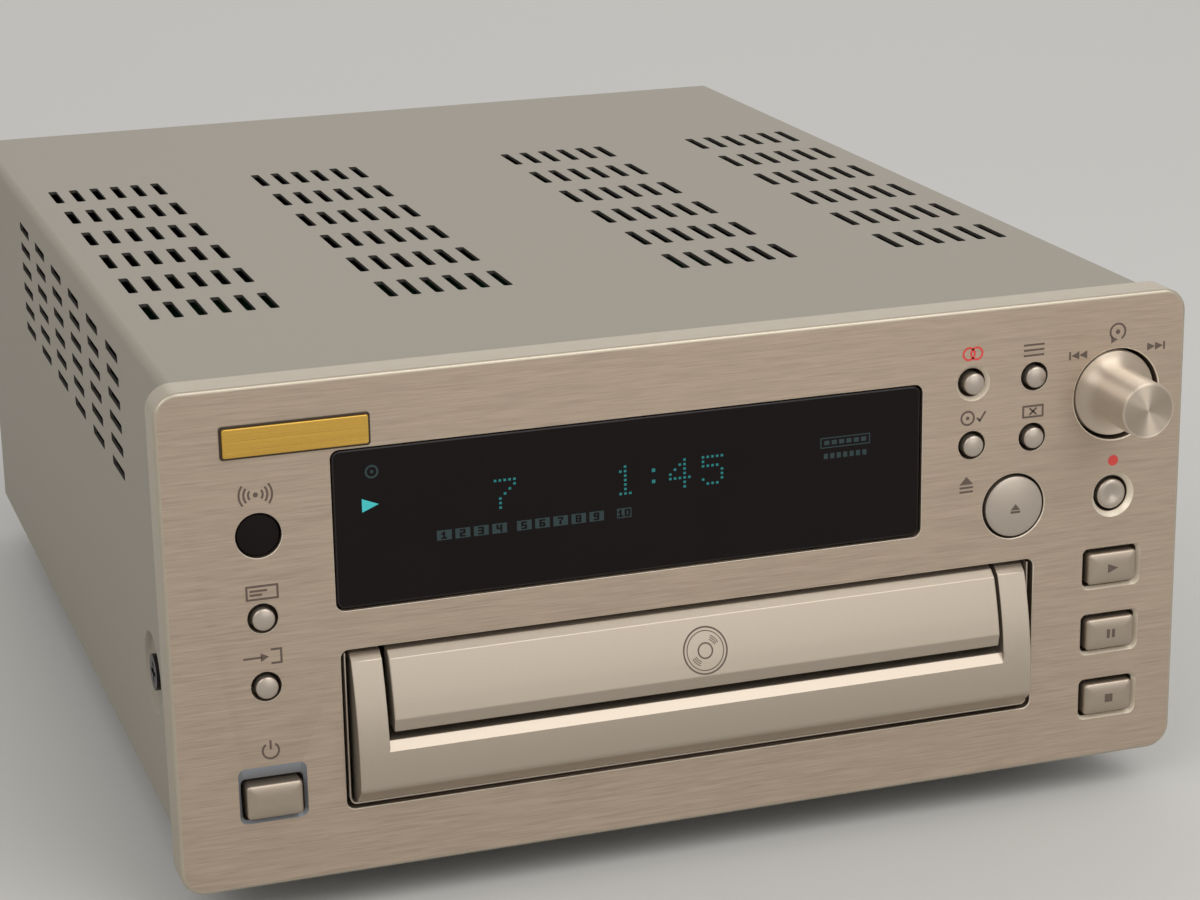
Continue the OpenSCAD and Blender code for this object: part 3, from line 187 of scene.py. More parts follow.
def sizes(context):
    """The size settings, in millimetres."""
    group = context.scene.deck_sizes
    return SimpleNamespace(**{name: getattr(group, name) / MM for name in DeckSizes.__annotations__})


class DeckStage(PropertyGroup):
    """Camera and light"""
    lens: FloatProperty(name="Lens", description="Focal length in millimetres on a 36 mm sensor",
                        default=89.61)
    sky: FloatProperty(name="Sky", description="Strength of the even light from all round", default=0.70)
    key: power("Key", "Power of the lamp above the front", 8.5)
    fill: power("Fill", "Power of the lamp on the left", 4.5)
    low: power("Low", "Power of the low lamp in front", 4.0)
    rim: power("Rim", "Power of the lamp behind", 2.2)


# Mesh building

class Shell:
    """Points and faces of one piece, in panel millimetres."""

    def __init__(self):
        self.points = []
        self.faces = []
        self.worn = {}

    def ring(self, outline, depth):
        """Front view outline at a depth, which may also be a function of the height."""
        first = len(self.points)
        for x, z in outline:
            self.points.append((x, depth(z) if callable(depth) else depth, z))
        return list(range(first, len(self.points)))

    def chain(self, points):
        first = len(self.points)
        self.points.extend(points)
        return list(range(first, len(self.points)))

    def wall(self, near, far, closed=True):
        count = len(near)
        for i in range(count if closed else count - 1):
            j = (i + 1) % count
            self.faces.append((near[i], near[j], far[j], far[i]))

    def cut_wall(self, near, far, slot=1):
        """Wall that wears one of the piece's further finishes."""
        first = len(self.faces)
        self.wall(near, far)
        self.wear(first, slot)

    def wear(self, first, slot):
        """Gives the faces from the first one on one of the piece's further finishes."""
        self.worn.update(dict.fromkeys(range(first, len(self.faces)), slot))

    def lid(self, ring):
        self.faces.append(tuple(ring))

    def sheet(self, *rings):
        """Flat face inside the first ring, with the other rings as its holes."""
        flat = [i for ring in rings for i in ring]
        lines = [[Vector(self.points[i]) for i in ring] for ring in rings]
        for corners in tessellate_polygon(lines):
            self.faces.append(tuple(flat[c] for c in corners))

    def loft(self, sections):
        """Closed solid through (outline, depth) sections from front to back."""
        rings = [self.ring(outline, depth) for outline, depth in sections]
        for near, far in zip(rings, rings[1:]):
            self.wall(near, far)
        self.lid(rings[0])
        self.lid(rings[-1])

    def tile(self, outline, front, back):
        self.loft([(outline, front), (outline, back)])

    def turn(self, at, profile, aim="front", steps=64):
        """Turned solid from (radius, distance) pairs about an axis that points to the front or up.

        A profile starts and ends on the axis, or else closes on itself as a ring.
        """
        rings = []
        for radius, along in profile:
            count = steps if radius > 1e-6 else 1
            points = []
            for i in range(count):
                u, v = polar(at, radius, math.tau * i / steps)
                points.append((u, along, v) if aim == "front" else (u, v, along))
            rings.append(self.chain(points))
        for near, far in zip(rings, rings[1:]):
            if len(near) == 1 and len(far) == 1:
                continue
            if len(near) == 1 or len(far) == 1:
                tip, rim = (near, far) if len(near) == 1 else (far, near)
                for i in range(steps):
                    self.faces.append((tip[0], rim[i], rim[(i + 1) % steps]))
            else:
                self.wall(near, far)
        if len(rings[0]) > 1:
            self.wall(rings[-1], rings[0])


def polar(at, r, turn):
    """Point at a distance and an angle in radians from a middle."""
    return at[0] + r * math.cos(turn), at[1] + r * math.sin(turn)


def arc(at, r, start, end, steps):
    """Points of an arc between two angles in degrees, both ends included."""
    return [polar(at, r, math.radians(start + (end - start) * i / steps)) for i in range(steps + 1)]


def rounded(at, w, h, r, steps=6):
    """Rounded rectangle about a middle, anticlockwise from the front."""
    points = []
    for sx, sz, start in ((1, -1, -90), (1, 1, 0), (-1, 1, 90), (-1, -1, 180)):
        hub = (at[0] + sx * (w / 2 - r), at[1] + sz * (h / 2 - r))
        points += arc(hub, r, start, start + 90, steps)
    return points


def oblong(at, w, h):
    return [(at[0] + sx * w / 2, at[1] + sz * h / 2) for sx, sz in ((-1, -1), (1, -1), (1, 1), (-1, 1))]


def circle(at, d, steps=64):
    return [polar(at, d / 2, math.tau * i / steps) for i in range(steps)]


def band(at, r, w, start, end, steps=24):
    """Arc of a given middle radius and width, between two angles in degrees."""
    return arc(at, r + w / 2, start, end, steps) + arc(at, r - w / 2, end, start, steps)


def stroke(start, end, w):
    """Straight line of a given width."""
    run = Vector((end[0] - start[0], end[1] - start[1])).normalized()
    side = (-run.y * w / 2, run.x * w / 2)
    return [(start[0] + side[0], start[1] + side[1]), (start[0] - side[0], start[1] - side[1]),
            (end[0] - side[0], end[1] - side[1]), (end[0] + side[0], end[1] + side[1])]


def arrow(at, w, h, toward):
    """Triangle that points right, left or up."""
    x, z = at
    if toward == "up":
        return [(x - w / 2, z - h / 2), (x + w / 2, z - h / 2), (x, z + h / 2)]
    s = 1 if toward == "right" else -1
    return [(x - s * w / 2, z - h / 2), (x + s * w / 2, z), (x - s * w / 2, z + h / 2)]


def eased(corners, steps=6):
    """Open line through corners (a, b, radius), each rounded by its radius."""
    points = []
    for i, (a, b, r) in enumerate(corners):
        if r == 0:
            points.append((a, b))
            continue
        here = Vector((a, b))
        back = (Vector(corners[i - 1][:2]) - here).normalized()
        ahead = (Vector(corners[i + 1][:2]) - here).normalized()
        half = back.angle(ahead) / 2
        hub = here + (back + ahead).normalized() * (r / math.sin(half))
        start = here + back * (r / math.tan(half)) - hub
        sweep = math.copysign(math.pi - 2 * half, start.x * ahead.y - start.y * ahead.x)
        first = math.atan2(start.y, start.x)
        points += [polar(hub, r, first + sweep * k / steps) for k in range(steps + 1)]
    return points


def smooth_mesh(mesh, crease):
    for polygon in mesh.polygons:
        polygon.use_smooth = True
    mesh.set_sharp_from_angle(angle=math.radians(crease))


def build(name, shell, finish, body, nodes=(), crease=38.0, bevel=0.0, thick=0.0, cut=()):
    """Makes a piece of a shell, with softened edges or a sheet thickness, and lets it ride on its body."""
    mesh = bpy.data.meshes.new(name)
    mesh.from_pydata([place(*p) for p in shell.points], [], shell.faces)
    for used in (finish, *cut):
        mesh.materials.append(bpy.data.materials[used])
    for face, worn in shell.worn.items():
        mesh.polygons[face].material_index = worn
    work = bmesh.new()
    work.from_mesh(mesh)
    bmesh.ops.remove_doubles(work, verts=work.verts, dist=MERGE)
    bmesh.ops.recalc_face_normals(work, faces=work.faces)
    if thick:
        top = max(work.faces, key=lambda f: f.calc_center_median().z)
        if top.normal.z < 0:
            bmesh.ops.reverse_faces(work, faces=work.faces)
    work.to_mesh(mesh)
    work.free()
    piece = bpy.data.objects.new(name, mesh)
    bpy.context.scene.collection.objects.link(piece)
    if thick:
        shape = piece.modifiers.new("sheet", "SOLIDIFY")
        shape.thickness = thick * MM
        shape.offset = -1.0
        shape.use_even_offset = True
        shape.material_offset = 1 if cut else 0
        shape.material_offset_rim = 1 if cut else 0
    if bevel:
        shape = piece.modifiers.new("soft edge", "BEVEL")
        shape.width = bevel * MM
        shape.segments = 3
        shape.limit_method = "ANGLE"
        shape.angle_limit = math.radians(SOFT_ANGLE)
    if thick or bevel:
        graph = bpy.context.evaluated_depsgraph_get()
        settled = bpy.data.meshes.new_from_object(piece.evaluated_get(graph))
        piece.modifiers.clear()
        piece.data = settled
        bpy.data.meshes.remove(mesh)
        settled.name = name
    smooth_mesh(piece.data, crease)
    piece.modifiers.new("flat faces", "WEIGHTED_NORMAL").keep_sharp = True
    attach(piece, body)
    if nodes:
        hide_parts(*nodes)
    return piece


# Finishes

# Fall-off and useful range of the grain's noise, least roughness, and depth of the relief in metres
NOISE_FALL = 0.6
NOISE_LOW, NOISE_HIGH = 0.25, 0.75
LEAST_ROUGH = 0.02
RELIEF = 0.00005

# Roughness of a clear coat, and turn of the brushed gloss as a share of a circle
COAT_ROUGH = 0.08
BRUSH_TURN = 0.25


def surface(name, shade, rough, metal=0.0, grain=900, swing=0.05, rough_swing=0.05, bump=0.0,
            detail=2.0, spread=0.25, specular=0.5, coat=0.0, brushed=0.0, spun=None, glow=0.0):
    """Shader whose colour, gloss and relief vary with a grain in cycles per metre, even or along x, y, z."""
    made = bpy.data.materials.new(name)
    made.use_nodes = True
    tree = made.node_tree
    shader = tree.nodes["Principled BSDF"]
    where = tree.nodes.new("ShaderNodeTexCoord")
    stretch = tree.nodes.new("ShaderNodeMapping")
    stretch.inputs["Scale"].default_value = grain if isinstance(grain, tuple) else (grain,) * 3
    noise = tree.nodes.new("ShaderNodeTexNoise")
    noise.inputs["Scale"].default_value = 1.0
    noise.inputs["Detail"].default_value = detail
    noise.inputs["Roughness"].default_value = NOISE_FALL
    tree.links.new(where.outputs["Object"], stretch.inputs["Vector"])
    tree.links.new(stretch.outputs["Vector"], noise.inputs["Vector"])
    ramp = tree.nodes.new("ShaderNodeValToRGB")
    ramp.color_ramp.elements[0].position = 0.5 - spread
    ramp.color_ramp.elements[1].position = 0.5 + spread
    ramp.color_ramp.elements[0].color = (*[c * (1 - swing) for c in shade], 1)
    ramp.color_ramp.elements[1].color = (*[min(1.0, c * (1 + swing)) for c in shade], 1)
    tree.links.new(noise.outputs["Fac"], ramp.inputs["Fac"])
    tree.links.new(ramp.outputs["Color"], shader.inputs["Base Color"])
    gloss = tree.nodes.new("ShaderNodeMapRange")
    gloss.inputs["From Min"].default_value = NOISE_LOW
    gloss.inputs["From Max"].default_value = NOISE_HIGH
    gloss.inputs["To Min"].default_value = max(LEAST_ROUGH, rough - rough_swing)
    gloss.inputs["To Max"].default_value = rough + rough_swing
    tree.links.new(noise.outputs["Fac"], gloss.inputs["Value"])
    tree.links.new(gloss.outputs["Result"], shader.inputs["Roughness"])
    if bump:
        relief = tree.nodes.new("ShaderNodeBump")
        relief.inputs["Strength"].default_value = bump
        relief.inputs["Distance"].default_value = RELIEF
        tree.links.new(noise.outputs["Fac"], relief.inputs["Height"])
        tree.links.new(relief.outputs["Normal"], shader.inputs["Normal"])
    shader.inputs["Metallic"].default_value = metal
    shader.inputs["Specular IOR Level"].default_value = specular
    if coat:
        shader.inputs["Coat Weight"].default_value = coat
        shader.inputs["Coat Roughness"].default_value = COAT_ROUGH
    if brushed:
        shader.inputs["Anisotropic"].default_value = brushed
        shader.inputs["Anisotropic Rotation"].default_value = BRUSH_TURN
    if spun:
        turning = tree.nodes.new("ShaderNodeTangent")
        turning.direction_type = "RADIAL"
        turning.axis = spun
        tree.links.new(turning.outputs["Tangent"], shader.inputs["Tangent"])
    if glow:
        shader.inputs["Emission Color"].default_value = (*shade, 1)
        shader.inputs["Emission Strength"].default_value = glow
    return made


class DECK_OT_finishes(Operator):
    """Makes the finishes and gives the carried-over solids theirs"""
    bl_idname = "deck.finishes"
    bl_label = "Finishes"

    def execute(self, context):
        hue = context.scene.deck_colours
        surface("brushed panel", hue.panel, 0.44, 0.85, (110, 4300, 4300), 0.13, 0.10, 0.25, 2.0, 0.22,
                brushed=0.7)
        surface("panel edge", hue.edge, 0.40, 0.85, 300, 0.03, 0.05)
        # Bare metal of the hole bevels, with a pale colour at low metalness that also stands in for the
        # highlights they catch: painted highlight.
        surface("cut aluminium", hue.cut, 0.42, 0.4, 3000, 0.04, 0.04)
        surface("power recess", srgb(128, 131, 136), 0.5, 0.3, 3000, 0.05, 0.04)
        surface("cover paint", hue.cover, 0.52, 0.1, 3400, 0.035, 0.06, 0.12, specular=0.3)
        # Dark grey of the cover's inside and its slot walls: painted shade that makes the slots look dark.
        surface("cover edge", srgb(58, 55, 50), 0.6, 0.1, 3400, 0.1)
        # Near-black sheet behind the side slots: painted shade where the inside of the case is dark.
        surface("liner felt", srgb(30, 29, 28), 0.85, 0.0, 2600, 0.2, specular=0.1)
        surface("tray paint", hue.tray, 0.34, 0.70, 5200, 0.05, 0.05, 0.05)
        surface("button metal", hue.button, 0.32, 0.85, 4200, 0.03, 0.04, 0.05)
        # The rectangular keys are the same satin metal as the round buttons, made darker as painted shade.
        surface("key metal", hue.key, 0.36, 0.85, 4200, 0.03, 0.04, 0.05)
        # The knob's end face gets the side's colour at 0.76 of its value: painted shade, a darker copy of the
        # same turned metal.
        face_share = 0.76
        turned = [c * face_share for c in hue.knob]
        surface("turned knob", turned, 0.50, 1.0, (300, 9000, 300), 0.04, 0.04, brushed=0.95, spun="Y")
        surface("knob side", hue.knob, 0.44, 1.0, (300, 9000, 300), 0.04, 0.04, brushed=1.0, spun="Y")
        surface("smoked window", hue.window, 0.09, 0.0, 60, 0.15, 0.03, specular=0.14)
        # Lighter bevel round the pane's front edge: painted highlight along the window's edge.
        surface("window edge", srgb(30, 25, 24), 0.3, 0.0, 900, 0.1, specular=0.3)
        for name, shade, share, glow in (("lit sign", hue.glow, 0.7, 0.5), ("dim sign", hue.glow, 0.3, 0.35),
                                         ("faint sign", hue.faint, 1.0, 0.3)):
            surface(name, [c * share for c in shade], 0.5, 0.0, 2000, 0.08, specular=0.1, glow=glow)
        surface("dark sign", hue.window, 0.5, 0.0, 2000, 0.1, specular=0.1)
        surface("brown print", hue.mark, 0.6, 0.0, 3000, 0.08)
        surface("red print", hue.mark_red, 0.55, 0.0, 3000, 0.06)
        surface("gilt plate", hue.plate, 0.30, 0.95, (30, 3000, 4200), 0.06, 0.07, 0.06, brushed=0.3)
        surface("plate edge", srgb(52, 40, 24), 0.5, 0.3, 3000, 0.1)
        surface("black plastic", srgb(24, 24, 25), 0.5, 0.0, 2600, 0.2, 0.08, 0.15)
        surface("tray plastic", srgb(44, 44, 46), 0.46, 0.0, 3600, 0.12, 0.07, 0.2)
        surface("black rubber", srgb(28, 27, 27), 0.72, 0.0, 1800, 0.15, 0.08, 0.2, specular=0.3)
        surface("rear paint", srgb(38, 38, 39), 0.5, 0.1, 3000, 0.1, 0.07, 0.25)
        surface("zinc sheet", srgb(172, 174, 172), 0.40, 0.9, 240, 0.10, 0.10, 0.03, 4.0)
        surface("bright steel", srgb(206, 205, 202), 0.24, 1.0, 1500, 0.05, 0.05)
        surface("black screw", srgb(34, 33, 33), 0.36, 0.6, 2000, 0.12, 0.08, 0.05)
        surface("board resist", srgb(30, 84, 52), 0.38, 0.0, 420, 0.28, 0.1, 0.05, 5.0)
        surface("board parts", srgb(40, 41, 48), 0.45, 0.0, 700, 0.25, 0.08)
        surface("gear nylon", srgb(226, 219, 200), 0.45, 0.0, 1500, 0.04, 0.06, 0.04)
        surface("coil iron", srgb(96, 88, 78), 0.5, 0.35, (60, 2200, 60), 0.2, 0.1, 0.08)
        surface("tube glass", srgb(34, 44, 46), 0.12, 0.0, 300, 0.1, 0.03)
        surface("lens glass", srgb(64, 76, 120), 0.06, 0.0, 300, 0.1, 0.02, coat=0.6)
        surface("white ring", srgb(222, 220, 214), 0.45, 0.0, 2000, 0.03)
        surface("red ring", srgb(176, 40, 38), 0.45, 0.0, 2000, 0.06)
        worn_by = {
            "black plastic": ("front_subframe", "drive_frame", "clamp_puck", "turntable", "pickup_sled",
                              "line_jack_block", "optical_jacks", "mains_inlet", "key_switches"),
            "tray plastic": ("disc_tray",),
            "black rubber": ("drive_dampers", "drive_belt"),
            "zinc sheet": ("bottom_chassis", "board_brackets", "clamp_bridge", "traverse_frame",
                           "jog_encoder", "loading_motor", "spindle_motor", "sled_motor"),
            "bright steel": ("sled_rails", "lead_screw", "line_jack_sleeves", "internal_screws",
                             "jog_shaft"),
            "board resist": ("main_board", "power_board", "front_board"),
            "board parts": ("board_parts",),
            "gear nylon": ("motor_pulley", "belt_wheel", "drive_gear", "jog_plunger"),
            "coil iron": ("power_transformer",),
            "tube glass": ("display_tube",),
            "lens glass": ("objective_lens",),
            "rear paint": ("rear_panel",),
            "black screw": ("cover_screws", "rear_screws"),
        }
        for finish, nodes in worn_by.items():
            for node in nodes:
                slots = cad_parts[node].data.materials
                slots.clear()
                slots.append(bpy.data.materials[finish])
        return {"FINISHED"}


class DECK_OT_stage(Operator):
    """Makes the camera, the floor and the light"""
    bl_idname = "deck.stage"
    bl_label = "Stage"

    # Metres and degrees: place and turn of the camera, half the floor, and what the lamps point at
    EYE_AT = (-0.19774, -0.65727, 0.26007)
    EYE_TURN = (72.9612, 0.9561, -18.8717)
    FLOOR_HALF = 6.0
    LIT_POINT = (0, -0.02, 0.05)
    WARM_WHITE = (1.0, 0.985, 0.965, 1)

    def execute(self, context):
        scene = context.scene
        stage = scene.deck_stage
        lens = bpy.data.cameras.new("photo camera")
        lens.lens = stage.lens
        lens.sensor_width = 36.0
        lens.sensor_fit = "HORIZONTAL"
        eye = bpy.data.objects.new("photo camera", lens)
        eye.location = self.EYE_AT
        eye.rotation_euler = Euler([math.radians(a) for a in self.EYE_TURN])
        scene.collection.objects.link(eye)
        scene.camera = eye
        scene.view_settings.view_transform = "Standard"

        world = bpy.data.worlds.new("even light")
        world.use_nodes = True
        ground = world.node_tree.nodes["Background"]
        ground.inputs["Color"].default_value = self.WARM_WHITE
        ground.inputs["Strength"].default_value = stage.sky
        scene.world = world

        floor_mesh = bpy.data.meshes.new("floor")
        half = self.FLOOR_HALF
        floor_mesh.from_pydata([(-half, -half, 0), (half, -half, 0), (half, half, 0), (-half, half, 0)], [],
                               [(0, 1, 2, 3)])
        floor = bpy.data.objects.new("floor", floor_mesh)
        scene.collection.objects.link(floor)
        surface("floor", scene.deck_colours.floor, 0.6, 0.0, 3, 0.012, 0.04, specular=0.2)
        floor_mesh.materials.append(bpy.data.materials["floor"])

        for name, power, size, spot in (("key lamp", stage.key, 1.0, (0.5, -1.05, 1.25)),
                                        ("fill lamp", stage.fill, 0.9, (-0.9, -0.9, 1.0)),
                                        ("low lamp", stage.low, 1.2, (0.65, -1.9, 0.55)),
                                        ("rim lamp", stage.rim, 1.4, (0.55, 1.4, 0.85))):
            lamp = bpy.data.lights.new(name, "AREA")
            lamp.energy = power
            lamp.size = size
            holder = bpy.data.objects.new(name, lamp)
            holder.location = spot
            ray = Vector(self.LIT_POINT) - Vector(spot)
            holder.rotation_euler = ray.to_track_quat("-Z", "Y").to_euler()
            scene.collection.objects.link(holder)
        return {"FINISHED"}


# Front

class DECK_OT_front_panel(Operator):
    """Builds the aluminium front with its openings"""
    bl_idname = "deck.front_panel"
    bl_label = "Front panel"

    # Slots of the panel's further finishes
    CUT, RECESS, RIM = 1, 2, 3

    # Millimetres: bevel of the rear edge, bevels and corners of the openings, and how far the window's and
    # the tray's openings exceed what they hold
    BACK_EDGE = 0.3
    BEVEL_DEPTH = 0.2
    FINE_BEVEL = 0.12
    OPEN_BEVEL = 0.18
    KNOB_BEVEL = 0.25
    KEY_CORNER = 1.0
    POWER_CORNER = 1.5
    WINDOW_GAP = 0.6
    WINDOW_CORNER = 1.8
    WINDOW_BEVEL = 0.05
    TRAY_BELOW = 1.4
    TRAY_ABOVE = 0.75
    TRAY_BESIDE = 3.9
    TRAY_CORNER = 1.7
    TRAY_BEVEL = 0.15

    # Steps round the front edge, a countersink's depth per width, and the power recess's depth per bevel
    EDGE_STEPS = 6
    SINK_SLOPE = 1.2
    POWER_DEPTH = 1.5

    def execute(self, context):
        size = sizes(context)
        edge = size.panel_round
        corner = size.panel_corner
        drop = size.panel_drop
        shell = Shell()

        def rim(inset, depth):
            outline = rounded((0, (PANEL_H - drop) / 2), PANEL_W - 2 * inset, PANEL_H + drop - 2 * inset,
                              corner - inset, 12)
            return shell.ring(outline, depth)

        rings = []
        for i in range(self.EDGE_STEPS + 1):
            turn = math.radians(90 * i / self.EDGE_STEPS)
            rings.append(rim(edge * (1 - math.sin(turn)), edge * (1 - math.cos(turn))))
        rings.append(rim(0.0, PANEL_T - self.BACK_EDGE))
        rings.append(rim(self.BACK_EDGE, PANEL_T))
        for near, far in zip(rings, rings[1:]):
            shell.cut_wall(near, far, self.RIM)
        fronts, backs = [rings[0]], [rings[-1]]

        def opening(outer, inner, depth, slot=self.CUT):
            """Hole through the panel that narrows from one outline to another down to a depth."""
            wide = shell.ring(outer, 0)
            clear = shell.ring(inner, depth)
            rear = shell.ring(inner, PANEL_T)
            shell.cut_wall(wide, clear, slot)
            shell.wall(clear, rear)
            fronts.append(wide)
            backs.append(rear)

        def round_opening(spot, d, bevel, depth=self.BEVEL_DEPTH):
            opening(circle(spot, d + 2 * bevel), circle(spot, d), depth)

        def bar_opening(spot, w, h, r, bevel, depth):
            opening(rounded(spot, w + 2 * bevel, h + 2 * bevel, r + bevel), rounded(spot, w, h, r), depth)

        bevel = size.hole_bevel
        for button in SMALL_BUTTONS:
            if button == "sync_button":
                sink = size.sync_sink
                round_opening(seat(button), size.small_hole, sink, sink * self.SINK_SLOPE)
            else:
                round_opening(seat(button), size.small_hole, self.FINE_BEVEL)
        sink = size.record_sink
        round_opening(seat("record_button"), size.record_hole, sink, sink * self.SINK_SLOPE)
        round_opening(seat("open_button"), size.open_hole, self.OPEN_BEVEL)
        round_opening(middle("jog_knob"), size.jog_hole, self.KNOB_BEVEL)
        round_opening(seat("sensor_window"), size.sensor_hole, self.FINE_BEVEL)
        w = size.bar_hole_w
        for button in BAR_BUTTONS:
            bar_opening(seat(button), w, size.bar_hole_h, self.KEY_CORNER, bevel, size.hole_depth)
        spot = middle("power_button")
        h = size.power_hole_h
        slope, sill = size.power_slope, size.power_sill
        outer = rounded((spot[0], spot[1] + (slope - sill) / 2), w + 2 * bevel, h + slope + sill,
                        self.POWER_CORNER)
        opening(outer, rounded(spot, w, h, self.KEY_CORNER),
                lambda z: bevel * (self.POWER_DEPTH + (z - spot[1]) / h), self.RECESS)
        w, h = face_size("display_window")
        grow = 2 * size.window_edge + self.WINDOW_GAP
        bar_opening(middle("display_window"), w + grow, h + grow, self.WINDOW_CORNER, self.WINDOW_BEVEL,
                    self.WINDOW_BEVEL)
        low, high = extent("tray_surround")
        hole_low, hole_high = low[2] - self.TRAY_BELOW, high[2] + self.TRAY_ABOVE
        w = high[0] - low[0] + self.TRAY_BESIDE
        bar_opening((0, (hole_low + hole_high) / 2), w, hole_high - hole_low,
                    self.TRAY_CORNER, self.TRAY_BEVEL, self.BEVEL_DEPTH)
        shell.sheet(*fronts)
        shell.sheet(*backs)
        build("front_panel_face", shell, "brushed panel", "chassis", ["front_panel"], 25.0,
              cut=("cut aluminium", "power recess", "panel edge"))
        return {"FINISHED"}


class DECK_OT_display(Operator):
    """Builds the display window, its lit signs and the remote sensor's window"""
    bl_idname = "deck.display"
    bl_label = "Display"

    # Dot rows of the large figures and of the small ones in the track row
    FIGURES = {
        "1": "00100 01100 00100 00100 00100 00100 01110",
        "4": "00010 00110 01010 10010 11111 00010 00010",
        "5": "11111 10000 11110 00001 00001 10001 01110",
        "7": "11111 00001 00010 00100 01000 01000 01000",
    }
    SMALL_FIGURES = {
        "0": "111 101 101 101 111", "1": "010 110 010 010 111", "2": "111 001 111 100 111",
        "3": "111 001 111 001 111", "4": "101 101 111 001 001", "5": "111 100 111 001 111",
        "6": "111 100 111 101 111", "7": "111 001 010 010 010", "8": "111 101 111 101 111",
        "9": "111 101 111 001 111",
    }

    # Millimetres on the panel: figure, upper left corner and dot pitch of the track and the time
    LARGE = (("7", (-42.4, 77.0), (0.98, 0.92)), ("1", (-17.8, 76.8), (1.0, 0.92)),
             ("4", (-6.4, 76.8), (1.0, 0.92)), ("5", (0.5, 76.8), (1.0, 0.92)))
    LARGE_DOT = (0.52, 0.48)
    SMALL_DOT = (0.38, 0.3)
    SMALL_STEP = 1.44
    SMALL_TOP = 67.6
    COLON_X, COLON_HEIGHTS, COLON_DOT = -9.4, (74.9, 72.6), 0.7
    RING_AT = (-66.3, 81.3)
    TRACK_X, TRACK_Z, TRACK_PITCH = -52.4, 66.85, 3.72
    BADGE, BADGE_W, BADGE_H, BADGE_RIM = (31.5, 76.3), 10.8, 2.2, 0.22

    # Millimetres: the pane's corner radius, and inset and step back of the rings round its edge
    CORNER = 1.7
    EDGE = ((0.45, 0.0), (0.3, 0.04), (0.12, 0.14), (0.03, 0.28), (0.0, 0.45))

    def dots(self, shell, rows, corner, pitch, dot, front, back):
        """Dots of one figure, from its upper left corner."""
        for r, row in enumerate(rows.split()):
            for c, lit in enumerate(row):
                if lit == "1":
                    at = (corner[0] + (c + 0.5) * pitch[0], corner[1] - (r + 0.5) * pitch[1])
                    shell.tile(oblong(at, *dot), front, back)

    def execute(self, context):
        size = sizes(context)
        height = size.print_height
        low, high = extent("display_window")
        at = middle("display_window")
        grow = 2 * size.window_edge
        w, h = (side + grow for side in face_size("display_window"))
        shell = Shell()
        rings = [shell.ring(rounded(at, w - 2 * inset, h - 2 * inset, self.CORNER - inset), low[1] + step)
                 for inset, step in self.EDGE]
        rings.append(shell.ring(rounded(at, w, h, self.CORNER), high[1]))
        shell.lid(rings[0])
        for near, far in zip(rings, rings[1:-1]):
            shell.cut_wall(near, far)
        shell.wall(rings[-2], rings[-1])
        shell.lid(rings[-1])
        build("display_window_pane", shell, "smoked window", "chassis", ["display_window"],
              cut=("window edge",))

        front, back = low[1] - height, low[1] + height
        lit, dim, faint, dark = Shell(), Shell(), Shell(), Shell()

        def lay(shell, outline):
            shell.tile(outline, front, back)

        for figure, corner, pitch in self.LARGE:
            self.dots(dim, self.FIGURES[figure], corner, pitch, self.LARGE_DOT, front, back)
        for z in self.COLON_HEIGHTS:
            lay(dim, oblong((self.COLON_X, z), self.COLON_DOT, self.COLON_DOT))
        lay(lit, arrow((-66.8, 74.7), 3.3, 2.7, "right"))
        lay(faint, band(self.RING_AT, 1.15, 0.4, 0, 359.9, 40))
        lay(faint, circle(self.RING_AT, 0.7, 20))
        for i in range(10):
            x = self.TRACK_X + self.TRACK_PITCH * i + (1.3 if i > 3 else 0) + (2.0 if i > 8 else 0)
            lay(faint, oblong((x, self.TRACK_Z), 3.0, 2.0))
            label = str(i + 1)
            start = x - self.SMALL_STEP * len(label) / 2 + 0.1
            for k, figure in enumerate(label):
                self.dots(dark, self.SMALL_FIGURES[figure], (start + self.SMALL_STEP * k, self.SMALL_TOP),
                          self.SMALL_DOT, self.SMALL_DOT, front - height, front)
        x, z = self.BADGE
        rim = self.BADGE_RIM
        for side in (-1, 1):
            lay(faint, oblong((x, z + side * (self.BADGE_H - rim) / 2), self.BADGE_W, rim))
        for side in (-1, 1):
            lay(faint, oblong((x + side * (self.BADGE_W - rim) / 2, z), rim, self.BADGE_H - 2 * rim))
        for i in range(6):
            lay(faint, oblong((27.5 + 1.6 * i, z), 1.1, 0.9))
        for i in range(7):
            lay(faint, oblong((27.3 + 1.4 * i, 73.5), 0.9, 1.1))
        build("display_play_sign", lit, "lit sign", "chassis")
        build("display_figures", dim, "dim sign", "chassis")
        build("display_faint_signs", faint, "faint sign", "chassis")
        build("display_track_figures", dark, "dark sign", "chassis")

        low, high = extent("sensor_window")
        r = (high[0] - low[0]) / 2
        shell = Shell()
        shell.turn(seat("sensor_window"), [(0, low[1]), (r * 0.6, low[1] + 0.06), (r - 0.3, low[1] + 0.2),
                                           (r, low[1] + 0.5), (r, high[1]), (0, high[1])])
        build("sensor_lens", shell, "smoked window", "chassis", ["sensor_window"])
        return {"FINISHED"}


class DECK_OT_name_plate(Operator):
    """Builds the bare gilt plate"""
    bl_idname = "deck.name_plate"
    bl_label = "Name plate"

    def execute(self, context):
        face_y = extent("name_plate")[0][1]
        at = middle("name_plate")
        w, h = face_size("name_plate")

        def outline(inset, r):
            return rounded(at, w - 2 * inset, h - 2 * inset, r)

        rim = Shell()
        rim.loft([(outline(0.1, 0.5), -0.4), (outline(0, 0.6), -0.3), (outline(0, 0.6), 0)])
        build("name_plate_back", rim, "plate edge", "chassis", ["name_plate"])
        face = Shell()
        face.loft([(outline(0.65, 0.25), face_y), (outline(0.45, 0.4), face_y + 0.12),
                   (outline(0.35, 0.45), -0.35)])
        build("name_plate_face", face, "gilt plate", "chassis", ())
        return {"FINISHED"}


# Controls

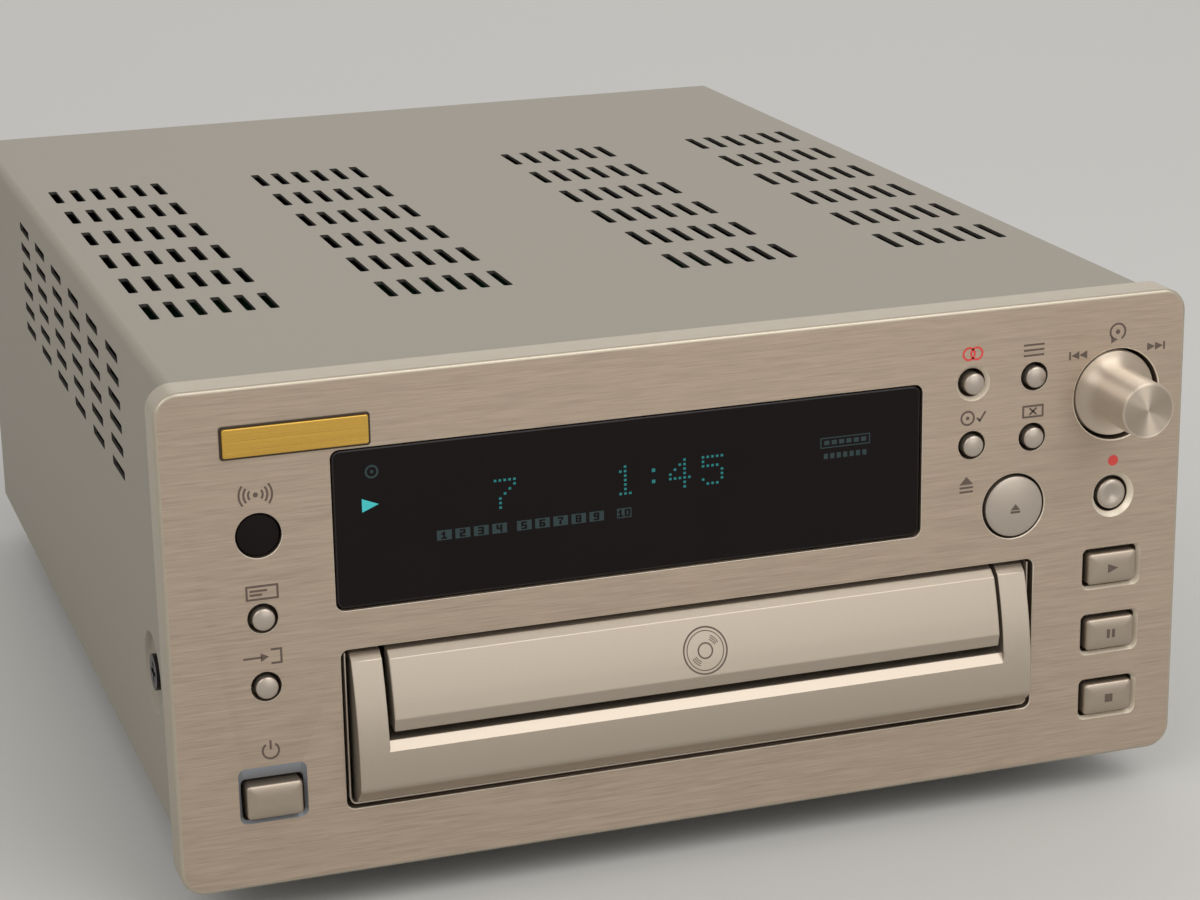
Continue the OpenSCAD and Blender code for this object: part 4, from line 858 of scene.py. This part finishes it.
def button_tail(shell, at, collar_ring, end):
    """Guide collar and stem behind a button's face."""
    shell.tile(collar_ring, COLLAR_FRONT, COLLAR_BACK)
    shell.turn(at, [(0, COLLAR_BACK), (STEM_R, COLLAR_BACK), (STEM_R, end), (0, end)], steps=24)


class DECK_OT_round_buttons(Operator):
    """Builds the round buttons: six small ones, open and record"""
    bl_idname = "deck.round_buttons"
    bl_label = "Round buttons"

    # Millimetres: play round the caps, and rise of a small cap above its solid
    RECORD_PLAY = 0.15
    SMALL_PLAY = 0.22
    SMALL_RISE = 0.2

    def dished(self, r, face):
        """Half profile of a cap that is hollow in the middle and rolls over at its edge."""
        crest, dish, roll, steps = 2.3, 0.42, 0.55, 8
        profile = [(crest * k / steps, face + dish * math.cos(math.pi * k / (2 * steps)) ** 2)
                   for k in range(steps + 1)]
        for k in range(1, steps + 1):
            share = math.sin(math.pi * k / (2 * steps))
            profile.append((crest + (r - crest) * share, face + roll * (1 - math.sqrt(1 - share ** 2))))
        return profile

    def domed(self, r, face, dome, roll):
        """Half profile of a cap that is part of a ball, with a rolled edge."""
        steps = 10
        ball = (r * r + dome * dome) / (2 * dome)
        reach = [(r - roll) * k / steps for k in range(steps + 1)]
        profile = [(x, face + ball - math.sqrt(ball ** 2 - x ** 2)) for x in reach]
        last = profile[-1][1]
        return profile + [(r - 0.06, last + 0.14), (r, last + 0.34)]

    def execute(self, context):
        record_set = sizes(context).record_set
        for button in SMALL_BUTTONS + ("open_button", "record_button"):
            low, high = extent(button)
            at = seat(button)
            collar_r = (high[0] - low[0]) / 2
            r, face = collar_r - COLLAR, low[1]
            if button == "record_button":
                profile = self.dished(r - self.RECORD_PLAY, face + record_set)
            elif button == "open_button":
                profile = self.domed(r, face, dome=0.7, roll=0.35)
            else:
                profile = self.domed(r - self.SMALL_PLAY, face - self.SMALL_RISE, dome=0.4, roll=0.2)
            profile += [(profile[-1][0], COLLAR_FRONT), (0, COLLAR_FRONT)]
            shell = Shell()
            shell.turn(at, profile, steps=72)
            button_tail(shell, at, circle(middle(button), 2 * collar_r, 48), high[1])
            build(button + "_cap", shell, "button metal", button, [button])
        return {"FINISHED"}


class DECK_OT_bar_buttons(Operator):
    """Builds the rectangular buttons: power, play, pause and stop"""
    bl_idname = "deck.bar_buttons"
    bl_label = "Rectangular buttons"

    # Millimetres: inset, step back and corner radius of a cap's sections, and radius of its guide's corners
    CAP = ((2.6, 0.0, 0.3), (1.9, 0.03, 0.35), (1.3, 0.09, 0.4), (0.8, 0.18, 0.5),
           (0.42, 0.29, 0.6), (0.18, 0.43, 0.7), (0.05, 0.62, 0.75), (0.0, 0.85, 0.8))
    GUIDE_CORNER = 1.0

    def execute(self, context):
        for button in ("power_button",) + BAR_BUTTONS:
            low, high = extent(button)
            at = seat(button)
            w, h = (side - 2 * COLLAR for side in face_size(button))
            sections = [(rounded(at, w - 2 * inset, h - 2 * inset, r), low[1] + step)
                        for inset, step, r in self.CAP]
            sections.append((rounded(at, w, h, self.CAP[-1][2]), COLLAR_FRONT))
            shell = Shell()
            shell.loft(sections)
            guide = rounded(middle(button), w + 2 * COLLAR, h + 2 * COLLAR, self.GUIDE_CORNER)
            button_tail(shell, at, guide, high[1])
            build(button + "_cap", shell, "key metal", button, [button])
        return {"FINISHED"}


class DECK_OT_jog_knob(Operator):
    """Builds the turned jog knob with its flange"""
    bl_idname = "deck.jog_knob"
    bl_label = "Jog knob"

    def execute(self, context):
        low, high = extent("jog_knob")
        front, rear = low[1], high[1]
        flange = (high[0] - low[0]) / 2
        r, bore, steps = 5.85, 3.05, 96
        foot, spread, rise = 0.7, 2.6, 3.2
        neck, bore_end = front + 4.0, front + 4.7
        profile = [(0, front), (2.5, front), (r - 0.5, front), (r - 0.2, front + 0.06),
                   (r - 0.06, front + 0.2), (r, front + 0.45), (r, neck)]
        for k in range(11):
            turn = math.radians(90 * k / 10)
            profile.append((r + spread * (1 - math.cos(turn)), foot - rise * (1 - math.sin(turn))))
        profile += [(flange - 0.25, foot), (flange - 0.07, foot + 0.08), (flange, foot + 0.25),
                    (flange, rear), (bore, rear), (bore, bore_end), (0, bore_end)]
        shell = Shell()
        shell.turn(middle("jog_knob"), profile, steps=steps)
        # The front face rings keep the darker face colour as painted shade; the rest wears the side's colour.
        face_rings = 2
        shell.wear(face_rings * steps, 1)
        build("jog_knob_body", shell, "turned knob", "jog", ["jog_knob"], crease=30,
              cut=("knob side",))
        return {"FINISHED"}


# Tray

class DECK_OT_tray_front(Operator):
    """Builds the fixed surround and the front that moves out with the tray"""
    bl_idname = "deck.tray_front"
    bl_label = "Tray front and surround"

    def execute(self, context):
        soft = sizes(context).soft_edge
        low, high = extent("tray_surround")
        half, proud, back = high[0], low[1], high[1]
        z0, z1 = low[2] + 0.2, high[2]
        bar_top = low[2] + 13.1
        notch = 65.83
        toe, brow, bulge = z0 + 3.5, z1 - 1.9, 1.25
        lean = -proud / (brow - toe)
        step = (1.6, brow + 1.4)
        crest = (3.4, brow + 1.9)

        def face(z):
            """Depth of the leaning face, which bulges a little between its ends."""
            share = (z - toe) / (brow - toe)
            return proud + lean * (z - toe) - 4 * bulge * share * (1 - share)

        def slope(start, end, stand=0.0, steps=8):
            """Corners up the leaning face, both ends left out, for a face that stands proud of it."""
            heights = [start + (end - start) * i / steps for i in range(1, steps)]
            return [(face(z) - stand, z, 0) for z in heights]

        lip_z = bar_top - 1.95
        lip = (face(lip_z), lip_z, 0)
        bevel_y = lip[0] + 1.4
        foot = eased([(back, z0, 0), (face(toe) + 3.6, z0, 0.2), (face(toe), toe - 0.2, 1.8)]
                     + slope(toe, lip_z) + [lip])
        crown = eased([lip] + slope(lip_z, brow)
                      + [(face(brow), brow, 0.5), (*step, 0.5), (*crest, 0.4), (back, z1, 0)])
        whole = foot + crown[1:] + [(back, bar_top)]
        short = foot + [(bevel_y, bar_top), (back, bar_top)]
        cheek = crown + [(back, bar_top), (bevel_y, bar_top)]
        shell = Shell()
        for side in (-1, 1):
            outer = shell.chain([(side * half, y, z) for y, z in whole])
            inner = shell.chain([(side * notch, y, z) for y, z in whole])
            shell.wall(outer, inner)
            shell.lid(outer)
            shell.lid(shell.chain([(side * notch, y, z) for y, z in cheek]))
        left, right = (shell.chain([(x, y, z) for y, z in short]) for x in (-notch, notch))
        shell.wall(left, right)
        build("tray_surround_frame", shell, "tray paint", "chassis", ["tray_surround"],
              20.0, soft)

        trim = Shell()
        trim_left, trim_right, trim_low = -half - 1.3, half + 0.9, z0 - 0.5
        bend, wall = 1.3, 0.35
        proud_lip, sunk_lip, trim_back = -0.3, 0.4, 4.0
        left_hub, right_hub = (trim_left + bend, trim_low + bend), (trim_right - bend, trim_low + bend)
        outline = [(trim_left, z1)] + arc(left_hub, bend, 180, 270, 6) + arc(right_hub, bend, 270, 360, 6)
        outline += [(trim_right, z1), (trim_right - wall, z1)]
        outline += arc(right_hub, bend - wall, 360, 270, 6) + arc(left_hub, bend - wall, 270, 180, 6)
        outline += [(trim_left + wall, z1)]
        trim.tile(outline, lambda z: proud_lip if z < trim_low + bend else sunk_lip, trim_back)
        build("tray_surround_lip", trim, "tray paint", "chassis", bevel=0.08)

        low, high = extent("tray_front")
        stand = 0.9
        base = low[2] + 2.6
        chin, temple = face(base) - stand, face(brow) - stand
        side_view = eased([(high[1], low[2], 0), (chin + 0.5, low[2], 0.3), (chin, base, 1.2)]
                          + slope(base + 1.2, brow, stand)
                          + [(temple, brow, 0.5), (step[0] - stand, step[1], 0.5),
                             (crest[0] - stand, crest[1], 0.4), (high[1], high[2], 0)])
        shell = Shell()
        left, right = (shell.chain([(x, y, z) for y, z in side_view]) for x in (low[0], high[0]))
        shell.wall(left, right)
        shell.lid(left)
        shell.lid(right)
        build("tray_front_panel", shell, "tray paint", "tray", ["tray_front"], 20.0, soft)

        height = sizes(context).print_height

        def ground(extra):
            return lambda z: face(z) - stand - extra

        at = (0.0, 36.9)
        disc = Shell()
        for r, w in ((4.6, 0.32), (3.9, 0.18), (1.5, 0.3)):
            disc.tile(band(at, r, w, 0, 359.9, 72), ground(height), ground(-height))
        for turn in (25, 205):
            for r in (2.3, 2.7, 3.1):
                disc.tile(band(at, r, 0.16, turn, turn + 40, 16), ground(height), ground(-height))
        build("tray_disc_sign", disc, "brown print", "tray")
        return {"FINISHED"}


# Markings

class DECK_OT_markings(Operator):
    """Builds the printed signs on the front and on the keys"""
    bl_idname = "deck.markings"
    bl_label = "Markings"

    def execute(self, context):
        height = sizes(context).print_height
        brown, red = Shell(), Shell()

        def ink(shell, *outlines, ground=0.0):
            for outline in outlines:
                shell.tile(outline, ground - height, ground + height)

        line = 0.42
        # Remote sensor
        x, z = -89.0, 79.5
        ink(brown, circle((x, z), 1.0, 24))
        for side in (0, 180):
            for r in (1.4, 2.3, 3.2):
                ink(brown, band((x, z), r, line, side - 38, side + 38, 12))
        # Display
        x, z = -88.7, 60.0
        for dz in (-1.3, 1.3):
            ink(brown, oblong((x, z + dz), 6.4, line))
        for dx in (-3, 3):
            ink(brown, oblong((x + dx, z), line, 2.2))
        ink(brown, oblong((x - 0.7, z + 0.4), 3.4, line), oblong((x - 1.2, z - 0.4), 2.4, line))
        # Input
        x, z = -88.8, 46.9
        ink(brown, oblong((x - 2.4, z), 3.6, line), arrow((x, z), 1.6, 1.8, "right"))
        ink(brown, oblong((x + 3.2, z), line, 3.2), oblong((x + 2.1, z + 1.4), 1.8, line),
            oblong((x + 2.1, z - 1.4), 1.8, line))
        # Power
        x, z = -88.6, 27.8
        ink(brown, band((x, z - 0.2), 1.6, line, 125, 415, 32), oblong((x, z + 1.0), line, 1.9))
        # Sync
        x, z = 59.2, 91.6
        for dx in (-0.85, 0.85):
            ink(red, band((x + dx, z), 1.25, line, 0, 359.9, 32))
        # Menu
        x, z = 72.9, 91.0
        for dz in (-1.1, 0, 1.1):
            ink(brown, oblong((x, z + dz), 4.6, line))
        # Finalize
        x, z = 59.3, 78.1
        ink(brown, band((x - 1.0, z), 1.4, line, 0, 359.9, 32), circle((x - 1.0, z), 0.8, 20),
            stroke((x + 1.1, z - 0.1), (x + 1.8, z - 0.9), line),
            stroke((x + 1.65, z - 0.85), (x + 3.0, z + 1.1), line))
        # Erase
        x, z = 73.0, 78.0
        for dz in (-1.15, 1.15):
            ink(brown, oblong((x, z + dz), 4.8, line))
        for dx in (-2.2, 2.2):
            ink(brown, oblong((x + dx, z), line, 1.9))
        ink(brown, stroke((x - 0.8, z - 0.7), (x + 0.8, z + 0.7), line),
            stroke((x - 0.8, z + 0.7), (x + 0.8, z - 0.7), line))
        # Open
        x, z = 58.3, 64.1
        ink(brown, arrow((x, z + 0.7), 3.0, 1.7, "up"), oblong((x, z - 0.8), 3.0, line),
            oblong((x, z - 1.7), 3.0, line))
        # Knob
        x, z = 91.9, 92.9
        ink(brown, band((x, z), 1.7, line, -60, 225, 40), circle((x, z), 1.0, 24),
            arrow((x - 0.7, z - 1.6), 1.5, 1.5, "right"))
        for x, z, toward in ((83.0, 88.8, "left"), (100.8, 89.0, "right")):
            s = 1 if toward == "right" else -1
            ink(brown, arrow((x - s * 1.1, z), 1.8, 1.7, toward), arrow((x + s * 0.7, z), 1.8, 1.7, toward),
                oblong((x + s * 1.9, z), 0.4, 1.7))
        # Record
        ink(red, circle((91.8, 65.3), 2.3, 36))
        build("front_signs", brown, "brown print", "chassis")
        build("record_signs", red, "red print", "chassis")

        def at(button, dx=0.0, dz=0.0):
            x, z = seat(button)
            return x + dx, z + dz

        for button, shapes in (
            ("open_button", (arrow(at("open_button", 0, 0.1), 2.1, 1.3, "up"),
                             oblong(at("open_button", 0, -1.0), 2.1, 0.5))),
            ("play_button", (arrow(at("play_button"), 2.4, 2.0, "right"),)),
            ("pause_button", [oblong(at("pause_button", dx), 0.7, 1.9) for dx in (-0.6, 0.6)]),
            ("stop_button", (oblong(at("stop_button"), 1.8, 1.8),)),
        ):
            sign = Shell()
            ink(sign, *shapes, ground=extent(button)[0][1])
            build(button + "_sign", sign, "brown print", button)
        return {"FINISHED"}


# Case

class DECK_OT_top_cover(Operator):
    """Builds the folded cover with its slots and screw dimples"""
    bl_idname = "deck.top_cover"
    bl_label = "Top cover"

    # Millimetres: middles of the top's groups of slots, a slot's corner radius, half the length of a slot's
    # cell, and how far the first slots of a side lie below the top
    GROUPS = (-82.8, -32.5, 32.5, 82.8)
    SLOT_CORNER = 0.55
    CELL_HALF = 9.0
    FIRST_LEVEL = 7.6

    # Millimetres: a screw's dimple, with inset and depth of the rings down its wall
    DIMPLE_D, SCREW_HOLE_D, DIMPLE_EDGE = 17.0, 3.4, 0.3
    DIMPLE = ((-0.3, 0.0), (-0.05, 0.1), (0.25, 0.45), (0.7, 1.15), (1.0, 1.42), (1.35, 1.5))

    # Millimetres: size and place of the lip at the rear, depths of the faces of the dark painted shade sheets
    # behind the sides, and how far these sheets exceed the slots
    LIP_W, LIP_H, LIP_CORNER, LIP_DOWN, LIP_T = 200.8, 8.0, 1.5, 5.0, 1.0
    LINER_OUTER, LINER_INNER = 1.4, 1.7
    LINER_LONGER, LINER_HIGHER, LINER_CORNER = 24, 8, 3.0

    def execute(self, context):
        size = sizes(context)
        low, high = extent("top_cover")
        half, skirt, top = high[0], low[2], high[2]
        y0, y1 = low[1], high[1]
        fold = size.fold
        slot_l, slot_w = size.slot_length, size.slot_width
        pitch = size.slot_pitch
        rows = [size.first_row + i * size.row_pitch for i in range(6)]
        along = [y0] + [y + s * self.CELL_HALF for y in rows for s in (-1, 1)] + [y1]
        shell = Shell()

        def strip(points):
            """Bent strip through front view points, from the panel to the rear."""
            lines = [shell.chain([(x, y, z) for x, z in points]) for y in along]
            for near, far in zip(lines, lines[1:]):
                shell.wall(near, far, closed=False)

        def plane(across, lay, holes):
            """Flat sheet of cells between grid lines, with one hole in some of the cells."""
            for a0, a1 in zip(across, across[1:]):
                for b0, b1 in zip(along, along[1:]):
                    rim = shell.chain([lay(a, b) for a, b in ((a0, b0), (a1, b0), (a1, b1), (a0, b1))])
                    inside = [outline for at, outline in holes if a0 < at[0] < a1 and b0 < at[1] < b1]
                    if inside:
                        shell.sheet(rim, shell.chain([lay(a, b) for a, b in inside[0]]))
                    else:
                        shell.lid(rim)

        def slots(across):
            return [((a, y), rounded((a, y), slot_w, slot_l, self.SLOT_CORNER, 3))
                    for a in across for y in rows]

        strip(arc((-half + fold, top - fold), fold, 180, 90, 7))
        strip(arc((half - fold, top - fold), fold, 90, 0, 7))
        lines = [-half + fold] + [g + (i - 3) * pitch for g in self.GROUPS for i in range(7)] + [half - fold]
        plane(lines, lambda a, b: (a, b, top),
              slots([g + (i - 2.5) * pitch for g in self.GROUPS for i in range(6)]))
        low, high = extent("cover_screws")
        screw = ((low[2] + high[2]) / 2, (low[1] + high[1]) / 2)
        levels = [top - self.FIRST_LEVEL - i * pitch for i in range(6)]
        lines = [skirt] + [levels[-1] + (i - 0.5) * pitch for i in range(7)] + [top - fold]
        for side in (-1, 1):
            x = side * half
            walls = [(self.DIMPLE_D - 2 * inset, sunk) for inset, sunk in self.DIMPLE]
            walls.append((self.SCREW_HOLE_D, self.DIMPLE[-1][1]))
            rings = [shell.chain([(x - side * sunk, b, a) for a, b in circle(screw, d, 48)])
                     for d, sunk in walls]
            for near, far in zip(rings, rings[1:]):
                shell.wall(near, far)
            mouth = circle(screw, self.DIMPLE_D + 2 * self.DIMPLE_EDGE, 48)
            plane(lines, lambda a, b: (x, b, a), slots(levels) + [(screw, mouth)])
        # The sheet's inside and slot walls wear the dark grey as painted shade.
        build("top_cover_sheet", shell, "cover paint", "chassis", ["top_cover"],
              thick=size.sheet, cut=("cover edge",))
        low, high = extent("rear_panel")
        lip = Shell()
        lip.tile(rounded((0, top - self.LIP_DOWN), self.LIP_W, self.LIP_H, self.LIP_CORNER),
                 low[1] - self.LIP_T, low[1])
        build("top_cover_lip", lip, "cover paint", "chassis", (), bevel=0.2)
        # Dark sheets just behind the side slots: painted shade inside the case.
        liner = Shell()
        outline = rounded(((rows[0] + rows[-1]) / 2, (levels[0] + levels[-1]) / 2),
                          rows[-1] - rows[0] + self.LINER_LONGER, levels[0] - levels[-1] + self.LINER_HIGHER,
                          self.LINER_CORNER)
        for side in (-1, 1):
            outer, inner = (liner.chain([(side * (half - sunk), y, z) for y, z in outline])
                            for sunk in (self.LINER_OUTER, self.LINER_INNER))
            liner.wall(outer, inner)
            liner.lid(outer)
            liner.lid(inner)
        build("side_slot_liners", liner, "liner felt", "chassis")
        return {"FINISHED"}


class DECK_OT_feet(Operator):
    """Builds the four round feet with their rubber pads"""
    bl_idname = "deck.feet"
    bl_label = "Feet"

    def execute(self, context):
        low, high = extent("feet")
        r = 13.0
        ground, top = low[2], high[2]
        pad_top = ground + 1.0
        body = [(0, pad_top), (r - 2.6, pad_top), (r - 1.2, ground + 1.1), (r - 0.5, ground + 1.5),
                (r - 0.1, ground + 2.4), (r, ground + 3.4), (r, top), (0, top)]
        pad = [(0, ground), (r - 4.4, ground), (r - 3.6, ground + 0.25), (r - 3.4, pad_top), (0, pad_top)]
        shell, pads = Shell(), Shell()
        for x in (low[0] + r, high[0] - r):
            for y in (low[1] + r, high[1] - r):
                shell.turn((x, y), body, "up", 56)
                pads.turn((x, y), pad, "up", 48)
        build("feet_bodies", shell, "black plastic", "chassis", ["feet"])
        build("feet_pads", pads, "black rubber", "chassis", ())
        return {"FINISHED"}


class DECK_OT_rear_rings(Operator):
    """Builds the coloured rings in the line jacks"""
    bl_idname = "deck.rear_rings"
    bl_label = "Line jack rings"

    def execute(self, context):
        low, high = extent("line_jack_sleeves")
        sleeve_r = 4.15
        end = high[1]
        ring = [(1.7, end - 0.62), (3.3, end - 0.62), (3.3, end - 0.3), (1.9, end - 0.3), (1.7, end - 0.5)]
        white, red = Shell(), Shell()
        for x in (low[0] + sleeve_r, high[0] - sleeve_r):
            for z, shell in ((high[2] - sleeve_r, white), (low[2] + sleeve_r, red)):
                shell.turn((x, z), ring, steps=40)
        build("line_jack_rings_left", white, "white ring", "chassis")
        build("line_jack_rings_right", red, "red ring", "chassis")
        return {"FINISHED"}


class DECK_PT_pieces(Panel):
    """Lists the pieces and their settings"""
    bl_idname = "DECK_PT_pieces"
    bl_label = "Mini disc recorder"
    bl_space_type = "VIEW_3D"
    bl_region_type = "UI"
    bl_category = "Recorder"

    def draw(self, context):
        for operator in OPERATORS:
            self.layout.operator(operator.bl_idname)
        for group in ("deck_colours", "deck_sizes", "deck_stage"):
            settings = getattr(context.scene, group)
            for name in settings.__annotations__:
                self.layout.prop(settings, name)


OPERATORS = (DECK_OT_stage, DECK_OT_finishes, DECK_OT_front_panel, DECK_OT_display, DECK_OT_name_plate,
             DECK_OT_round_buttons, DECK_OT_bar_buttons, DECK_OT_jog_knob, DECK_OT_tray_front,
             DECK_OT_markings, DECK_OT_top_cover, DECK_OT_feet, DECK_OT_rear_rings)
CLASSES = (DeckColours, DeckSizes, DeckStage) + OPERATORS + (DECK_PT_pieces,)


def register():
    for made in CLASSES:
        bpy.utils.register_class(made)
    bpy.types.Scene.deck_colours = PointerProperty(type=DeckColours)
    bpy.types.Scene.deck_sizes = PointerProperty(type=DeckSizes)
    bpy.types.Scene.deck_stage = PointerProperty(type=DeckStage)


def unregister():
    del bpy.types.Scene.deck_stage
    del bpy.types.Scene.deck_sizes
    del bpy.types.Scene.deck_colours
    for made in reversed(CLASSES):
        bpy.utils.unregister_class(made)


def main():
    """Registers the add-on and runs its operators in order."""
    register()
    bpy.ops.deck.stage()
    bpy.ops.deck.finishes()
    bpy.ops.deck.front_panel()
    bpy.ops.deck.display()
    bpy.ops.deck.name_plate()
    bpy.ops.deck.round_buttons()
    bpy.ops.deck.bar_buttons()
    bpy.ops.deck.jog_knob()
    bpy.ops.deck.tray_front()
    bpy.ops.deck.markings()
    bpy.ops.deck.top_cover()
    bpy.ops.deck.feet()
    bpy.ops.deck.rear_rings()


if __name__ == "__main__":
    main()
